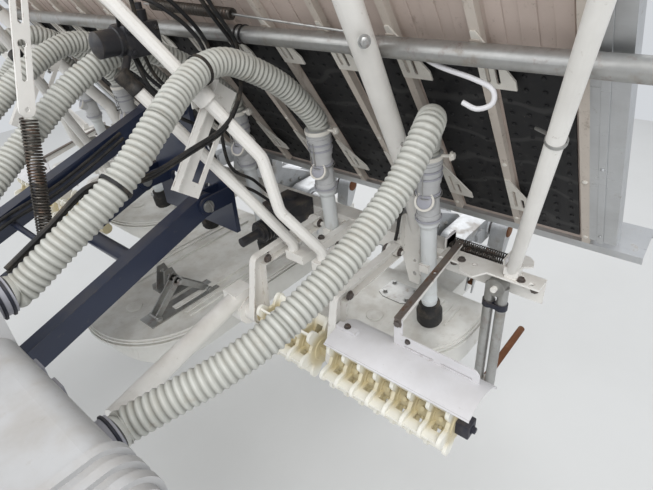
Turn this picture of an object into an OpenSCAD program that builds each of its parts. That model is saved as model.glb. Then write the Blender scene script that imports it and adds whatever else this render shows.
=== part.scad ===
/* [Rows] */
// Distance between neighbouring planted rows
row_pitch = 300; // [260:5:330]
// Half width of the working frame, from the centre to the end of the lower rail
rail_half = 1150; // [1100:10:1300]

/* [Lift linkage] */
// Length of the parallel lift links between their pivots
link_len = 840; // [700:10:950]
// Slope of the links as the unit hangs raised
link_rise = 17.6; // [5:0.2:22]
// Height between the lower and the upper link pivots
link_gap = 229; // [200:1:260]
// Sideways distance of each lower link from the centre
link_y = 150; // [120:5:170]
// Width of a lower link's box section
link_w = 40; // [30:1:44]
// Height of a lower link's box section
link_h = 62; // [50:1:70]
// Diameter of the link pivot pins
link_pin_d = 20; // [14:1:24]
// Side length of the square mounting plate
plate_w = 360; // [320:5:400]
// Thickness of the mounting plate
plate_t = 12; // [8:1:16]
// Diameter of the four mounting bolt holes
bolt_d = 14; // [10:1:18]
// Distance between the mounting bolt holes
bolt_gap = 300; // [260:5:330]

/* [Planting frame] */
// Side length of the square main beam
beam_s = 50; // [40:1:60]
// Place of the main beam behind the mounting face
beam_x = -1155; // [-1180:5:-1140]
// Height of the main beam
beam_z = 92; // [80:1:110]
// Diameter of the roll pivot
roll_d = 40; // [30:1:46]
// Height of the float soles below the mounting centre
sole_z = -220; // [-240:5:-200]
// Diameter of the planting drive shafts
drive_d = 25; // [18:1:30]
// Place of the planting drive shafts behind the mounting face
drive_x = -1450; // [-1500:5:-1430]
// Height of the planting drive shafts
drive_z = -25; // [-40:1:0]
// Radius on which the planting arms turn
crank_r = 80; // [70:1:88]

/* [Seedling tray] */
// Place of the tray's lower edge behind the mounting face
tray_x = -1266; // [-1290:1:-1250]
// Height of the tray's lower edge
tray_z = 170; // [160:1:190]
// Slope of the tray
tray_slope = 56; // [54:0.5:60]
// Length of the tray up its slope
tray_len = 1020; // [800:10:1100]
// Width of the tray
tray_w = 1800; // [1600:10:1900]
// Sideways travel of the tray, which is at its left end
tray_travel = 280; // [200:10:300]
// Distance between the ribs on the tray's back
rib_pitch = 150; // [120:5:180]

/* [Fertiliser outlets] */
// Outer diameter of the corrugated hoses
hose_d = 54; // [44:1:58]
// Outer diameter of the outlet cuffs
cuff_d = 60; // [56:1:64]
// Outer diameter of the outlet pipes
outlet_d = 38; // [30:1:42]

/* [Floats] */
// Length of the centre float
centre_float_len = 1060; // [900:10:1120]
// Width of the centre float
centre_float_w = 440; // [380:5:460]
// Length of a side float
side_float_len = 640; // [560:10:680]
// Width of a side float
side_float_w = 470; // [400:5:480]
// Height of the floats at their deck
float_h = 92; // [70:1:100]

/* [Levelling rotor] */
// Outer diameter of the levelling rotors
rotor_d = 150; // [130:2:180]
// Distance between the star discs of a rotor
cell = 41; // [34:1:46]
// Number of cells on the outer rotor section
outer_cells = 7; // [4:1:7]
// Number of cells on the inner rotor section
inner_cells = 4; // [2:1:4]
// Paddles round each cell, and lobes round each star disc
blades = 6; // [5:1:8]
// Side length of the square rotor shaft
shaft_s = 24; // [18:1:28]
// Place of the rotor shaft behind the mounting face
rotor_x = -826; // [-840:1:-800]
// Height of the rotor shaft
rotor_z = -46; // [-60:1:-30]
// Thickness of the sheet metal guards
sheet_t = 3; // [2:0.5:5]

/* [Stands] */
// Diameter of the stand tubes
stand_d = 24; // [18:1:28]
// Distance between the stand tubes
stand_gap = 30; // [30:1:40]
// Sideways distance of the stands outside the outer row
stand_out = 165; // [150:5:180]

/* [Hidden] */
$fn = 48;

// Running clearance on pins and shafts, on the radius
fit = 0.1;
// Gap between curved faces that lie side by side
gap = 0.3;

case_pitch = 2 * row_pitch;
case_ys = [case_pitch, 0, -case_pitch];
rows_left = [2.5 * row_pitch, 1.5 * row_pitch, 0.5 * row_pitch];
row_ys = concat(rows_left, [for (y = rows_left) -y]);

pivot_x = -90;
low_z = -83;
up_z = low_z + link_gap;
link_dir = [-cos(link_rise), 0, sin(link_rise)];
low_front = [pivot_x, 0, low_z];
up_front = [pivot_x, 0, up_z];
low_rear = low_front + link_len * link_dir;
up_rear = up_front + link_len * link_dir;

outer_row = 2.5 * row_pitch;
mid_row = 1.5 * row_pitch;

// The planting unit is drawn round this place of its lower pivot, and moves to where the links end
unit_pivot = [-890.68, 0, 170.99];
unit_shift = low_rear - unit_pivot;

module on_unit() translate(unit_shift) children();

white = [0.91, 0.90, 0.88];
ink_blue = [0.10, 0.13, 0.22];
duct_grey = [0.67, 0.66, 0.68];
hose_grey = [0.74, 0.75, 0.69];
cream = [0.93, 0.91, 0.80];
zinc = [0.62, 0.62, 0.60];
black = [0.07, 0.07, 0.07];
alloy = [0.66, 0.67, 0.68];
rust = [0.45, 0.30, 0.22];
rose = [0.80, 0.72, 0.69];

// A round bar between two points, which may taper
module rod(p, q, d, d_end = 0) {
    v = q - p;
    translate(p)
        rotate([0, acos(v.z / norm(v)), atan2(v.y, v.x)])
            cylinder(h = norm(v), d1 = d, d2 = d_end > 0 ? d_end : d);
}

// A bar along Y, centred on y
module cross_rod(x, y, z, d, length) {
    translate([x, y - length / 2, z]) rotate([-90, 0, 0]) cylinder(h = length, d = d);
}

// A block between two opposite corners
module block(a, b) {
    translate([min(a.x, b.x), min(a.y, b.y), min(a.z, b.z)])
        cube([abs(a.x - b.x), abs(a.y - b.y), abs(a.z - b.z)]);
}

// A flat plate in the side view, from y to y + t, of a 2D outline in X and Z
module side_plate(y, t) {
    translate([0, y + t, 0]) rotate([90, 0, 0]) linear_extrude(t) children();
}

// Both sides of the machine
module both_sides() {
    children();
    mirror([0, 1, 0]) children();
}

// An outline round a list of circles [x, z, d], in turn
module strap(circles) {
    for (i = [0 : len(circles) - 2])
        hull() for (c = [circles[i], circles[i + 1]])
            translate([c[0], c[1]]) circle(d = c[2], $fn = 32);
}

// The root: mounting plate, link lugs and the fertiliser distributor
lug_t = 8;
lug_gap = 1;

module lug(x0, z, y, x1) {
    side_plate(y, lug_t) difference() {
        union() {
            translate([x0, z]) circle(d = 2.4 * link_pin_d);
            translate([min(x0, x1), z - 1.2 * link_pin_d]) square([abs(x1 - x0), 2.4 * link_pin_d]);
        }
        translate([x0, z]) circle(d = link_pin_d);
    }
}

lug_in = link_w / 2 + lug_gap;
lower_lug_ys = [link_y + lug_in, link_y - lug_in - lug_t, -link_y + lug_in, -link_y - lug_in - lug_t];
upper_lug_ys = [lug_in, -lug_in - lug_t];

plate_corner = 24;
plate_hole_d = 120;

module mount_bracket() {
    color(ink_blue) {
        rotate([90, 0, -90]) linear_extrude(plate_t) difference() {
            union() {
                square([plate_w + 40 - 2 * plate_corner, plate_w], center = true);
                square([plate_w + 40, plate_w - 2 * plate_corner], center = true);
                for (y = [-1, 1], z = [-1, 1])
                    translate([y * (plate_w / 2 + 20 - plate_corner), z * (plate_w / 2 - plate_corner)]) circle(r = plate_corner);
            }
            for (y = [-1, 1], z = [-1, 1]) translate([y, z] * bolt_gap / 2) circle(d = bolt_d);
            translate([0, 20]) circle(d = plate_hole_d);
        }
        for (y = lower_lug_ys) lug(pivot_x, low_z, y, -plate_t);
        for (y = upper_lug_ys) lug(pivot_x, up_z, y, -plate_t);
    }
}

module pivot_pin(x, y, z) {
    over = 2 * (lug_in + lug_t);
    color(zinc) {
        cross_rod(x, y, z, link_pin_d, over);
        for (s = [-1, 1]) cross_rod(x, y + s * (over / 2 + 4), z, 1.5 * link_pin_d, 8);
    }
}

module front_pivot_pins() {
    pivot_pin(pivot_x, link_y, low_z);
    pivot_pin(pivot_x, -link_y, low_z);
    pivot_pin(pivot_x, 0, up_z);
}

// The distributor: an inner duct and a deeper moulded end housing on each side
duct_rear = -300;
duct_front = -60;
duct_inner = [70, 540];
duct_outer = [540, 900];
inner_z = [310, 410];
outer_z = [165, 345];
duct_r = 34;
rims = [823, 850, 877];
rim_t = 12;
rim_h = 7;
arm_ys = [120, 160];

module duct_outline(z, grow) {
    r = duct_r + grow;
    x0 = duct_rear - grow;
    x1 = duct_front + grow;
    z0 = z[0] - grow;
    z1 = z[1] + grow;
    union() {
        for (x = [x0 + r, x1 - r]) translate([x, z1 - r]) circle(r = r);
        translate([x0, z0]) square([x1 - x0, z1 - z0 - r]);
        translate([x0 + r, z0]) square([x1 - x0 - 2 * r, z1 - z0]);
    }
}

module distributor_bracket() {
    color(ink_blue) both_sides() {
        block([-plate_t - 40, arm_ys[0], plate_w / 2 - 70], [-plate_t, arm_ys[1], inner_z[0]]);
        block([duct_rear + 30, arm_ys[0], inner_z[0] - 10], [-plate_t - 40, arm_ys[1], inner_z[0]]);
    }
}

module distributor_housing() {
    color(duct_grey) both_sides() {
        side_plate(duct_inner[0], duct_inner[1] - duct_inner[0]) duct_outline(inner_z, 0);
        side_plate(duct_outer[0], duct_outer[1] - duct_outer[0]) duct_outline(outer_z, 0);
        for (y = rims) side_plate(y, rim_t) duct_outline(outer_z, rim_h);
    }
}

// Each hose runs from its spigot on the distributor to its outlet; left side, outer row first
spigots = [[duct_rear, 700, 218], [duct_rear, 470, 356], [duct_rear, 190, 356]];
spigot_l = 30;

module hose_spigots() {
    color(duct_grey) both_sides() for (s = spigots) rod(s, s - [spigot_l, 0, 0], hose_d + 6);
}

// Lift links
eye_over = 3;

module link_arm(p, q, y, w, h) {
    v = q - p;
    side_plate(y - w / 2, w) difference() {
        union() {
            translate([p.x, p.z]) rotate(atan2(v.z, v.x)) translate([0, -h / 2]) square([norm(v), h]);
            for (e = [p, q]) translate([e.x, e.z]) circle(d = h + 2 * eye_over);
        }
        for (e = [p, q]) translate([e.x, e.z]) circle(d = link_pin_d + 2 * fit);
    }
}

module lower_link() {
    color(ink_blue) {
        for (s = [-1, 1]) link_arm(low_front, low_rear, s * link_y, link_w, link_h);
        for (f = [0.3, 0.72]) {
            c = low_front + f * link_len * link_dir;
            cross_rod(c.x, 0, c.z, 42, 2 * link_y - link_w + 12);
        }
    }
}

module upper_link() {
    color(ink_blue) {
        link_arm(up_front, up_rear, 0, link_w, 50);
        cross_rod(spring_low.x, (spring_low.y + 8) / 2, spring_low.z, anchor_d, spring_low.y + 8);
    }
}

// Hitch head: cheek plates, a post and the roll pivot
post_x = low_rear.x - 80;
post_t = 14;
post_low = beam_z + unit_shift.z - 45;
post_half = link_y + lug_in + lug_t;
roll_end = beam_x + unit_shift.x - beam_s / 2 + 2;

module hitch() {
    color(ink_blue) {
        translate([post_x, 0, 0]) rotate([90, 0, -90]) linear_extrude(post_t) difference() {
            polygon([[-post_half, post_low], [post_half, post_low], [post_half, low_rear.z + 34], [post_half - 30, low_rear.z + 60],
                [60, up_rear.z - 70], [60, up_rear.z + 28], [48, up_rear.z + 40], [-48, up_rear.z + 40], [-60, up_rear.z + 28],
                [-60, up_rear.z - 70], [30 - post_half, low_rear.z + 60], [-post_half, low_rear.z + 34]]);
            for (y = [-84, 84]) translate([y, low_rear.z - 12]) circle(d = 52);
            translate([0, up_rear.z - 84]) circle(d = 50);
        }
        for (y = lower_lug_ys) lug(low_rear.x, low_rear.z, y, post_x);
        for (y = upper_lug_ys) lug(up_rear.x, up_rear.z, y, post_x);
        translate([post_x - post_t, 0, beam_z + unit_shift.z]) rotate([0, -90, 0])
            cylinder(h = post_x - post_t - roll_end, d = roll_d);
    }
}

module rear_pivot_pins() {
    pivot_pin(low_rear.x, link_y, low_rear.z);
    pivot_pin(low_rear.x, -link_y, low_rear.z);
    pivot_pin(up_rear.x, 0, up_rear.z);
}

// The tray lies in a sloping plane; u runs up the slope and w out of its front
tray_up = [cos(tray_slope), 0, sin(tray_slope)];
tray_out = [sin(tray_slope), 0, -cos(tray_slope)];
function on_tray(u, w, y) = [tray_x, y, tray_z] + u * tray_up + w * tray_out;

module tray_frame(y) {
    multmatrix([
        [tray_up.x, 0, tray_out.x, tray_x],
        [0, -1, 0, y],
        [tray_up.z, 0, tray_out.z, tray_z],
        [0, 0, 0, 1]]) children();
}

// Planting frame
beam_half = outer_row + 130;
beam_wall = 4;
beam_front = beam_x + beam_s / 2;
beam_rear = beam_x - beam_s / 2;
beam_top = beam_z + beam_s / 2;
beam_low = beam_z - beam_s / 2;
boss_front = post_x - post_t - 6 - unit_shift.x;
hanger_ys = [outer_row - 102, mid_row - 60];
hanger = [beam_front + 60, 0, 110];
hanger_pin_d = 12;
hanger_t = 8;

clamp_w = 24;
clamp_l = 68;
spring_d = 20;
spring_l = 140;
spring_tab_t = 4;
spring_y = [outer_row + 16, outer_row + 16 + spring_tab_t + spring_l];

module main_beam() {
    color(white) {
        difference() {
            union() {
                block([beam_rear, -beam_half, beam_low], [beam_front, beam_half, beam_top]);
                translate([beam_rear, 0, beam_z]) rotate([0, 90, 0])
                    cylinder(h = boss_front - beam_rear, d = roll_d + 28);
            }
            translate([beam_rear - 1, 0, beam_z]) rotate([0, 90, 0])
                cylinder(h = boss_front - beam_rear + 2, d = roll_d + 2 * fit);
            for (s = [-1, 1])
                block([beam_rear + beam_wall, s * 60, beam_low + beam_wall],
                    [beam_front - beam_wall, s * (beam_half + 1), beam_top - beam_wall]);
        }
        for (y = row_ys) difference() {
            block([beam_front, y - clamp_w / 2, beam_z - 10], [beam_front + clamp_l, y + clamp_w / 2, beam_z + 10]);
            outlet_tube(y, outlet_d + 2 * gap);
        }
        both_sides() for (y = spring_y) side_plate(y, spring_tab_t)
            translate([beam_rear, beam_top]) square([beam_s, spring_d + 8]);
        both_sides() for (y = hanger_ys) {
            side_plate(y, hanger_t) union() {
                translate([hanger.x, hanger.z]) circle(d = 34);
                polygon([[beam_front, beam_low], [beam_front, beam_top], [hanger.x, hanger.z + 17],
                    [hanger.x + 16, hanger.z - 6]]);
            }
            cross_rod(hanger.x, y + 20, hanger.z, hanger_pin_d, 44);
        }
    }
}

bracket_y = [outer_row + 26, outer_row + 258];
bracket_t = 5;
bracket_z = [beam_low, beam_top + 12];
bracket_holes = [for (y = [46, 78, 110, 215, 238]) outer_row + y];
rear_plate_y = [outer_row + 180, outer_row + 215];
stand_pin_l = 52;

module end_brackets() {
    color(white) both_sides() {
        difference() {
            block([beam_front, bracket_y[0], bracket_z[0]], [beam_front + bracket_t, bracket_y[1], bracket_z[1]]);
            for (y = bracket_holes) translate([beam_front - 1, y, beam_z + 6])
                rotate([0, 90, 0]) cylinder(h = bracket_t + 2, d = 13);
        }
        translate([0, 0, bracket_z[1] - bracket_t]) linear_extrude(bracket_t) difference() {
            union() {
                translate([beam_front + bracket_t, bracket_y[0]]) square([41, bracket_y[1] - bracket_y[0]]);
                polygon([[beam_front + 45, bracket_y[0] + 52], [beam_front + 45, bracket_y[0] + 118],
                    [beam_front + 78, bracket_y[0] + 98], [beam_front + 70, bracket_y[0] + 64]]);
            }
            for (y = bracket_holes) translate([beam_front + 34, y]) circle(d = 11);
        }
        translate([0, 0, bracket_z[1]]) linear_extrude(bracket_t) difference() {
            polygon([[beam_rear - 6, rear_plate_y[0]], [beam_front + 40, rear_plate_y[0]], [beam_front + 40, rear_plate_y[1] - 8],
                [beam_front + 18, rear_plate_y[1]], [beam_front + 6, rear_plate_y[1] - 14], [beam_front - 12, rear_plate_y[1] - 12],
                [beam_front - 24, rear_plate_y[1] + 4], [beam_front - 44, rear_plate_y[1] - 2], [beam_rear - 6, rear_plate_y[1] - 16]]);
            translate([beam_front - 16, rear_plate_y[0] + 14]) circle(d = 9);
        }
        translate([beam_front, stand_pivot.y, stand_pivot.z]) rotate([0, 90, 0])
            cylinder(h = stand_pin_l, d = stand_pin_d);
    }
}

case_w = 56;
pad_x = tray_x - 34;
pad_z = 136;
float_pin = [-1500, 0, -98];
float_pin_d = 12;
float_hanger_t = 12;

module planting_case(y) {
    color(alloy) {
        difference() {
            union() {
                side_plate(y - case_w / 2, case_w) {
                    strap([[beam_rear - 46, beam_z - 6, 92], [drive_x, drive_z, 96]]);
                    translate([beam_rear - 60, beam_low - 14]) square([60, beam_s + 18]);
                    translate([pad_x - 22, pad_z - 60]) square([44, 60]);
                }
                side_plate(y - float_hanger_t / 2, float_hanger_t)
                    strap([[drive_x - 10, drive_z - 20, 40], [float_pin.x, float_pin.z, 34]]);
            }
            cross_rod(drive_x, y, drive_z, drive_d + 2 * fit, case_w + 2);
        }
        cross_rod(float_pin.x, y, float_pin.z, float_pin_d, float_hanger_t + 40);
    }
}

module planting_case_left() planting_case(case_ys[0]);
module planting_case_centre() planting_case(case_ys[1]);
module planting_case_right() planting_case(case_ys[2]);

// Drive gearbox with its bellows and input stub, left of the centre
gearbox_y = row_pitch - 5;
bellows = 5;

module drive_gearbox() {
    color([0.20, 0.20, 0.21]) {
        block([beam_front, gearbox_y - 50, beam_z - 40], [beam_front + 104, gearbox_y + 50, beam_z + 50]);
        translate([beam_front + 104, gearbox_y, beam_z]) rotate([0, 90, 0]) {
            cylinder(h = 12, d = 84);
            for (i = [0 : bellows - 1]) translate([0, 0, 12 + i * 12]) {
                cylinder(h = 6, d = 62);
                translate([0, 0, 6]) cylinder(h = 6, d = 50);
            }
            translate([0, 0, 12 + bellows * 12]) cylinder(h = 60, d = 26);
        }
        translate([beam_front + 40, gearbox_y, beam_z + 50]) cylinder(h = 8, d = 34);
    }
}

// Rails that carry the tray, and the tubes that carry them
slide_d = 34;
slide_gap = 5;
rib_h = 14;
slide_w = rib_h + slide_gap + slide_d / 2;
slide_us = [560, 860];
upright_d = 42.7;
upright_w = slide_w + slide_d / 2 + upright_d / 2 + gap;
upright_y = [outer_row - 66, outer_row + 20];
side_pipe_d = 27.2;
side_pipe_w = slide_w + slide_d / 2 + side_pipe_d / 2 + gap;
side_pipe_foot = [beam_front + 28, outer_row + 193, bracket_z[1] + bracket_t];
side_pipe_head = on_tray(slide_us[1] + 30, side_pipe_w, rail_half - 24);

// A round tube swept through a list of points, with flat ends that a cut moves in
sides = 12;

function tangent(pts, i) =
    let (a = pts[max(i - 1, 0)], b = pts[min(i + 1, len(pts) - 1)])
        (b - a) / norm(b - a);

function ring(pts, i, r, n, side, slip) =
    let (t = tangent(pts, i), s = cross(t, side), u = s / norm(s), v = cross(u, t))
        [for (k = [0 : n - 1]) pts[i] + slip * t + r * (cos(360 * k / n) * u + sin(360 * k / n) * v)];

module sweep(pts, d, n = sides, range = [0, -1], side = [0, 1, 0], cut = 0) {
    last = range[1] < 0 ? len(pts) - 1 : range[1];
    rings = last - range[0];
    slip = [for (i = [range[0] : last]) i == 0 || i == len(pts) - 1 ? 0 : i == range[0] ? cut : i == last ? -cut : 0];
    points = [for (i = [range[0] : last]) each ring(pts, i, d / 2, n, side, slip[i - range[0]])];
    walls = [for (i = [0 : rings - 1], k = [0 : n - 1])
        let (a = i * n + k, b = i * n + (k + 1) % n)
            [a, b, b + n, a + n]];
    polyhedron(points, concat(walls,
        [[for (k = [n - 1 : -1 : 0]) k]],
        [[for (k = [0 : n - 1]) rings * n + k]]), convexity = 4);
}

function flip(p) = [p.x, -p.y, p.z];

// Points with each inner corner rounded by an arc of chords
function rounded(pts, cut, steps = 4) = [
    pts[0],
    for (i = [1 : len(pts) - 2])
        let (a = pts[i] + cut * (pts[i - 1] - pts[i]) / norm(pts[i - 1] - pts[i]),
            b = pts[i] + cut * (pts[i + 1] - pts[i]) / norm(pts[i + 1] - pts[i]))
            for (k = [0 : steps]) let (t = k / steps)
                (1 - t) * (1 - t) * a + 2 * t * (1 - t) * pts[i] + t * t * b,
    pts[len(pts) - 1]
];

module uprights() {
    knee = on_tray(165, upright_w, upright_y[0]);
    head = on_tray(slide_us[1] + 60, upright_w, upright_y[1]);
    foot = [beam_x, upright_y[0], beam_top - 20];
    color(white) both_sides() difference() {
        union() {
            rod(foot, knee, upright_d);
            rod(knee - 12 * tray_up, head, upright_d);
        }
        block([beam_rear - 60, upright_y[0] - 60, beam_low], [beam_front + 60, upright_y[0] + 60, beam_top]);
    }
}

module side_pipes() {
    color(white) both_sides() {
        rod(side_pipe_foot + [0, 0, 12], side_pipe_head, side_pipe_d);
        block(side_pipe_foot - [11, 16, 0], side_pipe_foot + [11, 16, 20]);
    }
}

module tray_slides() {
    color(white) for (u = slide_us) {
        p = on_tray(u, slide_w, 0);
        cross_rod(p.x, 0, p.z, slide_d, 2 * rail_half);
    }
}

// Lower rail: a channel under the tray's edge, with a foot on each planting case
rail_t = 5;
rail_w = 64;
rail_lip = 26;
notch_w = 34;
notch_deep = 40;

module tray_rail() {
    color(alloy) {
        difference() {
            tray_frame(0) {
                translate([-gap - rail_t, -rail_half, -rail_w]) cube([rail_t, 2 * rail_half, rail_w + 8]);
                translate([-gap - rail_t - rail_lip, -rail_half, 3]) cube([rail_lip, 2 * rail_half, rail_t]);
                translate([-gap - rail_t - rail_lip, -rail_half, -rail_w]) cube([rail_lip, 2 * rail_half, rail_t]);
            }
            for (y = row_ys) tray_frame(y)
                translate([-rail_lip - 20, -notch_w / 2, -rail_w - 1]) cube([rail_lip + 30, notch_w, notch_deep]);
        }
        low = on_tray(-gap - rail_t, 4, 0);
        high = on_tray(-gap - rail_t, -rail_w + 4, 0);
        for (y = case_ys) side_plate(y - 20, 40)
            polygon([[pad_x - 20, pad_z], [pad_x + 20, pad_z], [low.x, low.z], [high.x, high.z]]);
    }
}

front_arm_x = -915;
front_arms_y = [for (y = [[28, 48, -10, 28], [78, 94, 94, 112]]) [for (v = y) mid_row + v]];

module front_arms() {
    color(white) both_sides() for (a = front_arms_y) {
        block([beam_front, a[0], beam_z - 5], [front_arm_x, a[1], beam_z + 20]);
        block([front_arm_x - 42, a[2], beam_z - 5], [front_arm_x, a[3], beam_z + 20]);
    }
}

pipe_d = 27.2;
pipe_foot_z = beam_z + 20;
pipe_a = [[-937, mid_row + 95, pipe_foot_z], [-937, mid_row + 95, 134], [-867, 492, 257], [-845, 483, 392], [-679, 342, 707],
    [-621, 290, 799]];
pipe_b = [[-930, mid_row + 5, pipe_foot_z], [-930, mid_row + 5, 130], [-864, 397, 262], [-760, 305, 464], [-710, 262, 560]];

module bent_pipes() {
    color(white) {
        arch = concat(pipe_a, [for (i = [len(pipe_a) - 1 : -1 : 0]) flip(pipe_a[i])]);
        sweep(rounded(arch, 12), pipe_d, side = [1, 0, 0]);
        both_sides() sweep(rounded(pipe_b, 12), pipe_d);
    }
}

// Notched gauge plates, each clamped to its bent pipe
plate_top = [-845, 395, 530];
plate_foot = [-700, 395, 345];
collar_dir = (pipe_a[4] - pipe_a[3]) / norm(pipe_a[4] - pipe_a[3]);
collar_at = pipe_a[3] + 0.44 * (pipe_a[4] - pipe_a[3]);
collar_half = 14;

module gauge_plates() {
    v = plate_foot - plate_top;
    color(white) both_sides() {
        side_plate(plate_top.y, 4) difference() {
            union() {
                translate([plate_top.x, plate_top.z]) rotate(atan2(v.z, v.x)) translate([0, -35]) square([norm(v), 70]);
                polygon([[-836, 505], [-760, 505], [-760, 550], [-826, 550]]);
            }
            translate([plate_top.x, plate_top.z]) rotate(atan2(v.z, v.x)) translate([40, -24]) square([norm(v) - 70, 20]);
        }
        side_plate(plate_top.y + 2, 20) translate([plate_top.x, plate_top.z]) rotate(atan2(v.z, v.x))
            translate([1, 31]) square([norm(v) - 2, 3]);
        difference() {
            union() {
                rod(collar_at - collar_half * collar_dir, collar_at + collar_half * collar_dir, pipe_d + 14);
                block([collar_at.x - 10, plate_top.y + 1, collar_at.z - 8], [collar_at.x + 10, collar_at.y - 17, collar_at.z + 8]);
            }
            rod(collar_at - 2 * collar_half * collar_dir, collar_at + 2 * collar_half * collar_dir, pipe_d + 2 * gap);
        }
    }
}

// Spring link that hangs on the bent pipe's cross part
link_eye = [pipe_a[5].x, 158, pipe_a[5].z];
link_joint = [-543, 176, 531];
link_bar = [30, 6];
anchor_u = 406;
spring_low = up_front + anchor_u * link_dir + [0, 198, -5.8];
anchor_d = 14;
coil_d = 32;

module spring_link() {
    v = link_joint - link_eye;
    l = norm([v.x, v.z]);
    color(zinc) difference() {
        union() {
            side_plate(link_joint.y - link_bar[1] / 2, link_bar[1])
                translate([link_eye.x, link_eye.z]) rotate(atan2(v.z, v.x)) difference() {
                    union() {
                        translate([0, -link_bar[0] / 2]) square([l, link_bar[0]]);
                        translate([l, 0]) circle(d = link_bar[0]);
                    }
                    translate([l, 0]) circle(d = 10);
                    for (x = [l * 0.22, l * 0.58]) translate([x, 0]) {
                        translate([0, -5]) square([l * 0.22, 10]);
                        circle(d = 16);
                        translate([l * 0.22, 0]) circle(d = 10);
                    }
                }
            cross_rod(link_eye.x, (link_eye.y - 7 + link_joint.y + link_bar[1] / 2) / 2, link_eye.z, pipe_d + 16,
                link_joint.y + link_bar[1] / 2 - link_eye.y + 7);
        }
        cross_rod(link_eye.x, link_eye.y, link_eye.z, pipe_d + 2 * gap, 60);
    }
}

module assist_spring() {
    v = link_joint + unit_shift - spring_low;
    u = v / norm(v);
    color(zinc) rod(spring_low + (anchor_d / 2 + gap + 1.2) * u, link_joint + unit_shift - (link_bar[0] / 2 + gap + 0.8) * u, coil_d);
}

module balance_springs() {
    color(zinc) both_sides() for (x = [-0.56, 0.56])
        cross_rod(beam_x + x * spring_d, spring_y[0] + spring_tab_t + spring_l / 2, beam_top + gap + spring_d / 2,
            spring_d, spring_l);
}

// Fertiliser outlets
outlet_top = [-1058, 0, 385];
outlet_low = [-1100, 0, -30];
outlet_dir = (outlet_low - outlet_top) / norm(outlet_low - outlet_top);
cup_l = 66;
cuff_l = 172;
branch_at = 120;
branch_d = 44;
branch_dir = [0.85, 0.2, 0.48] / norm([0.85, 0.2, 0.48]);
boot_l = 66;

module outlet_tube(y, d) {
    rod(outlet_top + [0, y, 0], outlet_low + [0, y, 0], d);
}

module outlet_pipes() {
    color(hose_grey) both_sides() for (y = rows_left) {
        top = outlet_top + [0, y, 0];
        branch = top + branch_at * outlet_dir;
        outlet_tube(y, outlet_d);
        rod(top, top + cup_l * outlet_dir, cuff_d, cuff_d - 4);
        for (s = [8, 14, 20]) rod(top + s * outlet_dir, top + (s + 3) * outlet_dir, cuff_d + 2);
        rod(top + cup_l * outlet_dir, top + cuff_l * outlet_dir, cuff_d - 10);
        rod(top + (cuff_l - 30) * outlet_dir, top + (cuff_l - 8) * outlet_dir, cuff_d - 6);
        rod(top + cuff_l * outlet_dir, top + (cuff_l + 12) * outlet_dir, cuff_d - 10, outlet_d);
        rod(branch, branch + 32 * branch_dir, branch_d);
        rod(branch, branch + 35 * branch_dir, branch_d - 10);
    }
}

module outlet_boots() {
    color(black) for (y = row_ys) {
        low = outlet_low + [0, y, 0];
        rod(low, low + 8 * outlet_dir, outlet_d + 16);
        rod(low + 8 * outlet_dir, low + 26 * outlet_dir, outlet_d + 8, cuff_d + 6);
        rod(low + 26 * outlet_dir, low + (boot_l - 8) * outlet_dir, cuff_d + 6);
        rod(low + (boot_l - 8) * outlet_dir, low + boot_l * outlet_dir, cuff_d - 2);
    }
}

// Seedling tray
tray_y = tray_travel / 2;
tray_t = 16;
tray_rows = 6;
divider_t = 12;
divider_h = 38;
belt_t = 4;
rib_w = 16;
belt_len = 520;
bays = round(tray_w / rib_pitch);
channel_w = 52;

module tray_back() {
    color(rose) tray_frame(tray_y) {
        translate([0, -tray_w / 2, -tray_t]) cube([tray_len, tray_w, tray_t]);
        for (i = [0 : tray_rows]) translate([24, (i / tray_rows - 0.5) * (tray_w - divider_t) - divider_t / 2, -tray_t - divider_h])
            cube([tray_len - 60, divider_t, divider_h]);
        translate([tray_len - 16, -tray_w / 2, -tray_t - 14]) cube([16, tray_w, 14]);
    }
}

module tray_belts() {
    color(black) tray_frame(tray_y) for (i = [0 : bays - 1])
        translate([20, (i - bays / 2) * rib_pitch + rib_w, 0]) cube([belt_len, rib_pitch - 2 * rib_w, belt_t]);
}

module tray_ribs() {
    color(rose) tray_frame(tray_y) for (i = [0 : bays]) {
        y = (i - bays / 2) * rib_pitch;
        translate([12, y - rib_w / 2, 0]) cube([tray_len - 12, rib_w, rib_h]);
        for (u = slide_us) translate([u - 10, y - rib_w / 2, rib_h]) cube([20, rib_w, slide_gap - gap]);
    }
}

module tray_side_channels() {
    color(alloy) tray_frame(tray_y) for (s = [-1, 1])
        translate([0, s * (tray_w / 2 + rib_w / 2 + channel_w / 2), 0]) difference() {
            translate([12, -channel_w / 2, -tray_t]) cube([tray_len - 12, channel_w, 30]);
            translate([0, -channel_w / 2 + 3, -tray_t - 1]) cube([tray_len + 1, channel_w - 6, 28]);
            translate([12, 0, 14]) rotate([0, 45, 0]) cube([30, channel_w + 2, 30], center = true);
        }
}

// Planting rotaries: a carrier with two arms on each side of every case
arm_half = 24;
carrier_y = [case_w / 2 + 12, row_pitch / 2 - arm_half - 12];
journal_l = row_pitch / 2 + arm_half - carrier_y[1];
arm_case = [[0, 0, 52], [20, -60, 34]];
claw = [[17, -52, 18], [36, -116, 8]];
claw_y = [-11, 8];
claw_t = 3;

module rotary(y) {
    color(alloy) {
        cross_rod(drive_x, y, drive_z, drive_d, 2 * carrier_y[1]);
        for (s = [-1, 1]) {
            y0 = s > 0 ? carrier_y[0] : -carrier_y[1];
            side_plate(y + y0, carrier_y[1] - carrier_y[0])
                strap([[drive_x + crank_r, drive_z, 78], [drive_x - crank_r, drive_z, 78]]);
            for (c = [-1, 1]) cross_rod(drive_x + c * crank_r, y + s * (carrier_y[1] + journal_l / 2), drive_z, 22, journal_l);
            cross_rod(drive_x, y + s * (carrier_y[1] + 4), drive_z, 46, 8);
        }
    }
}

module rotary_left() rotary(case_ys[0]);
module rotary_centre() rotary(case_ys[1]);
module rotary_right() rotary(case_ys[2]);

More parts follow.
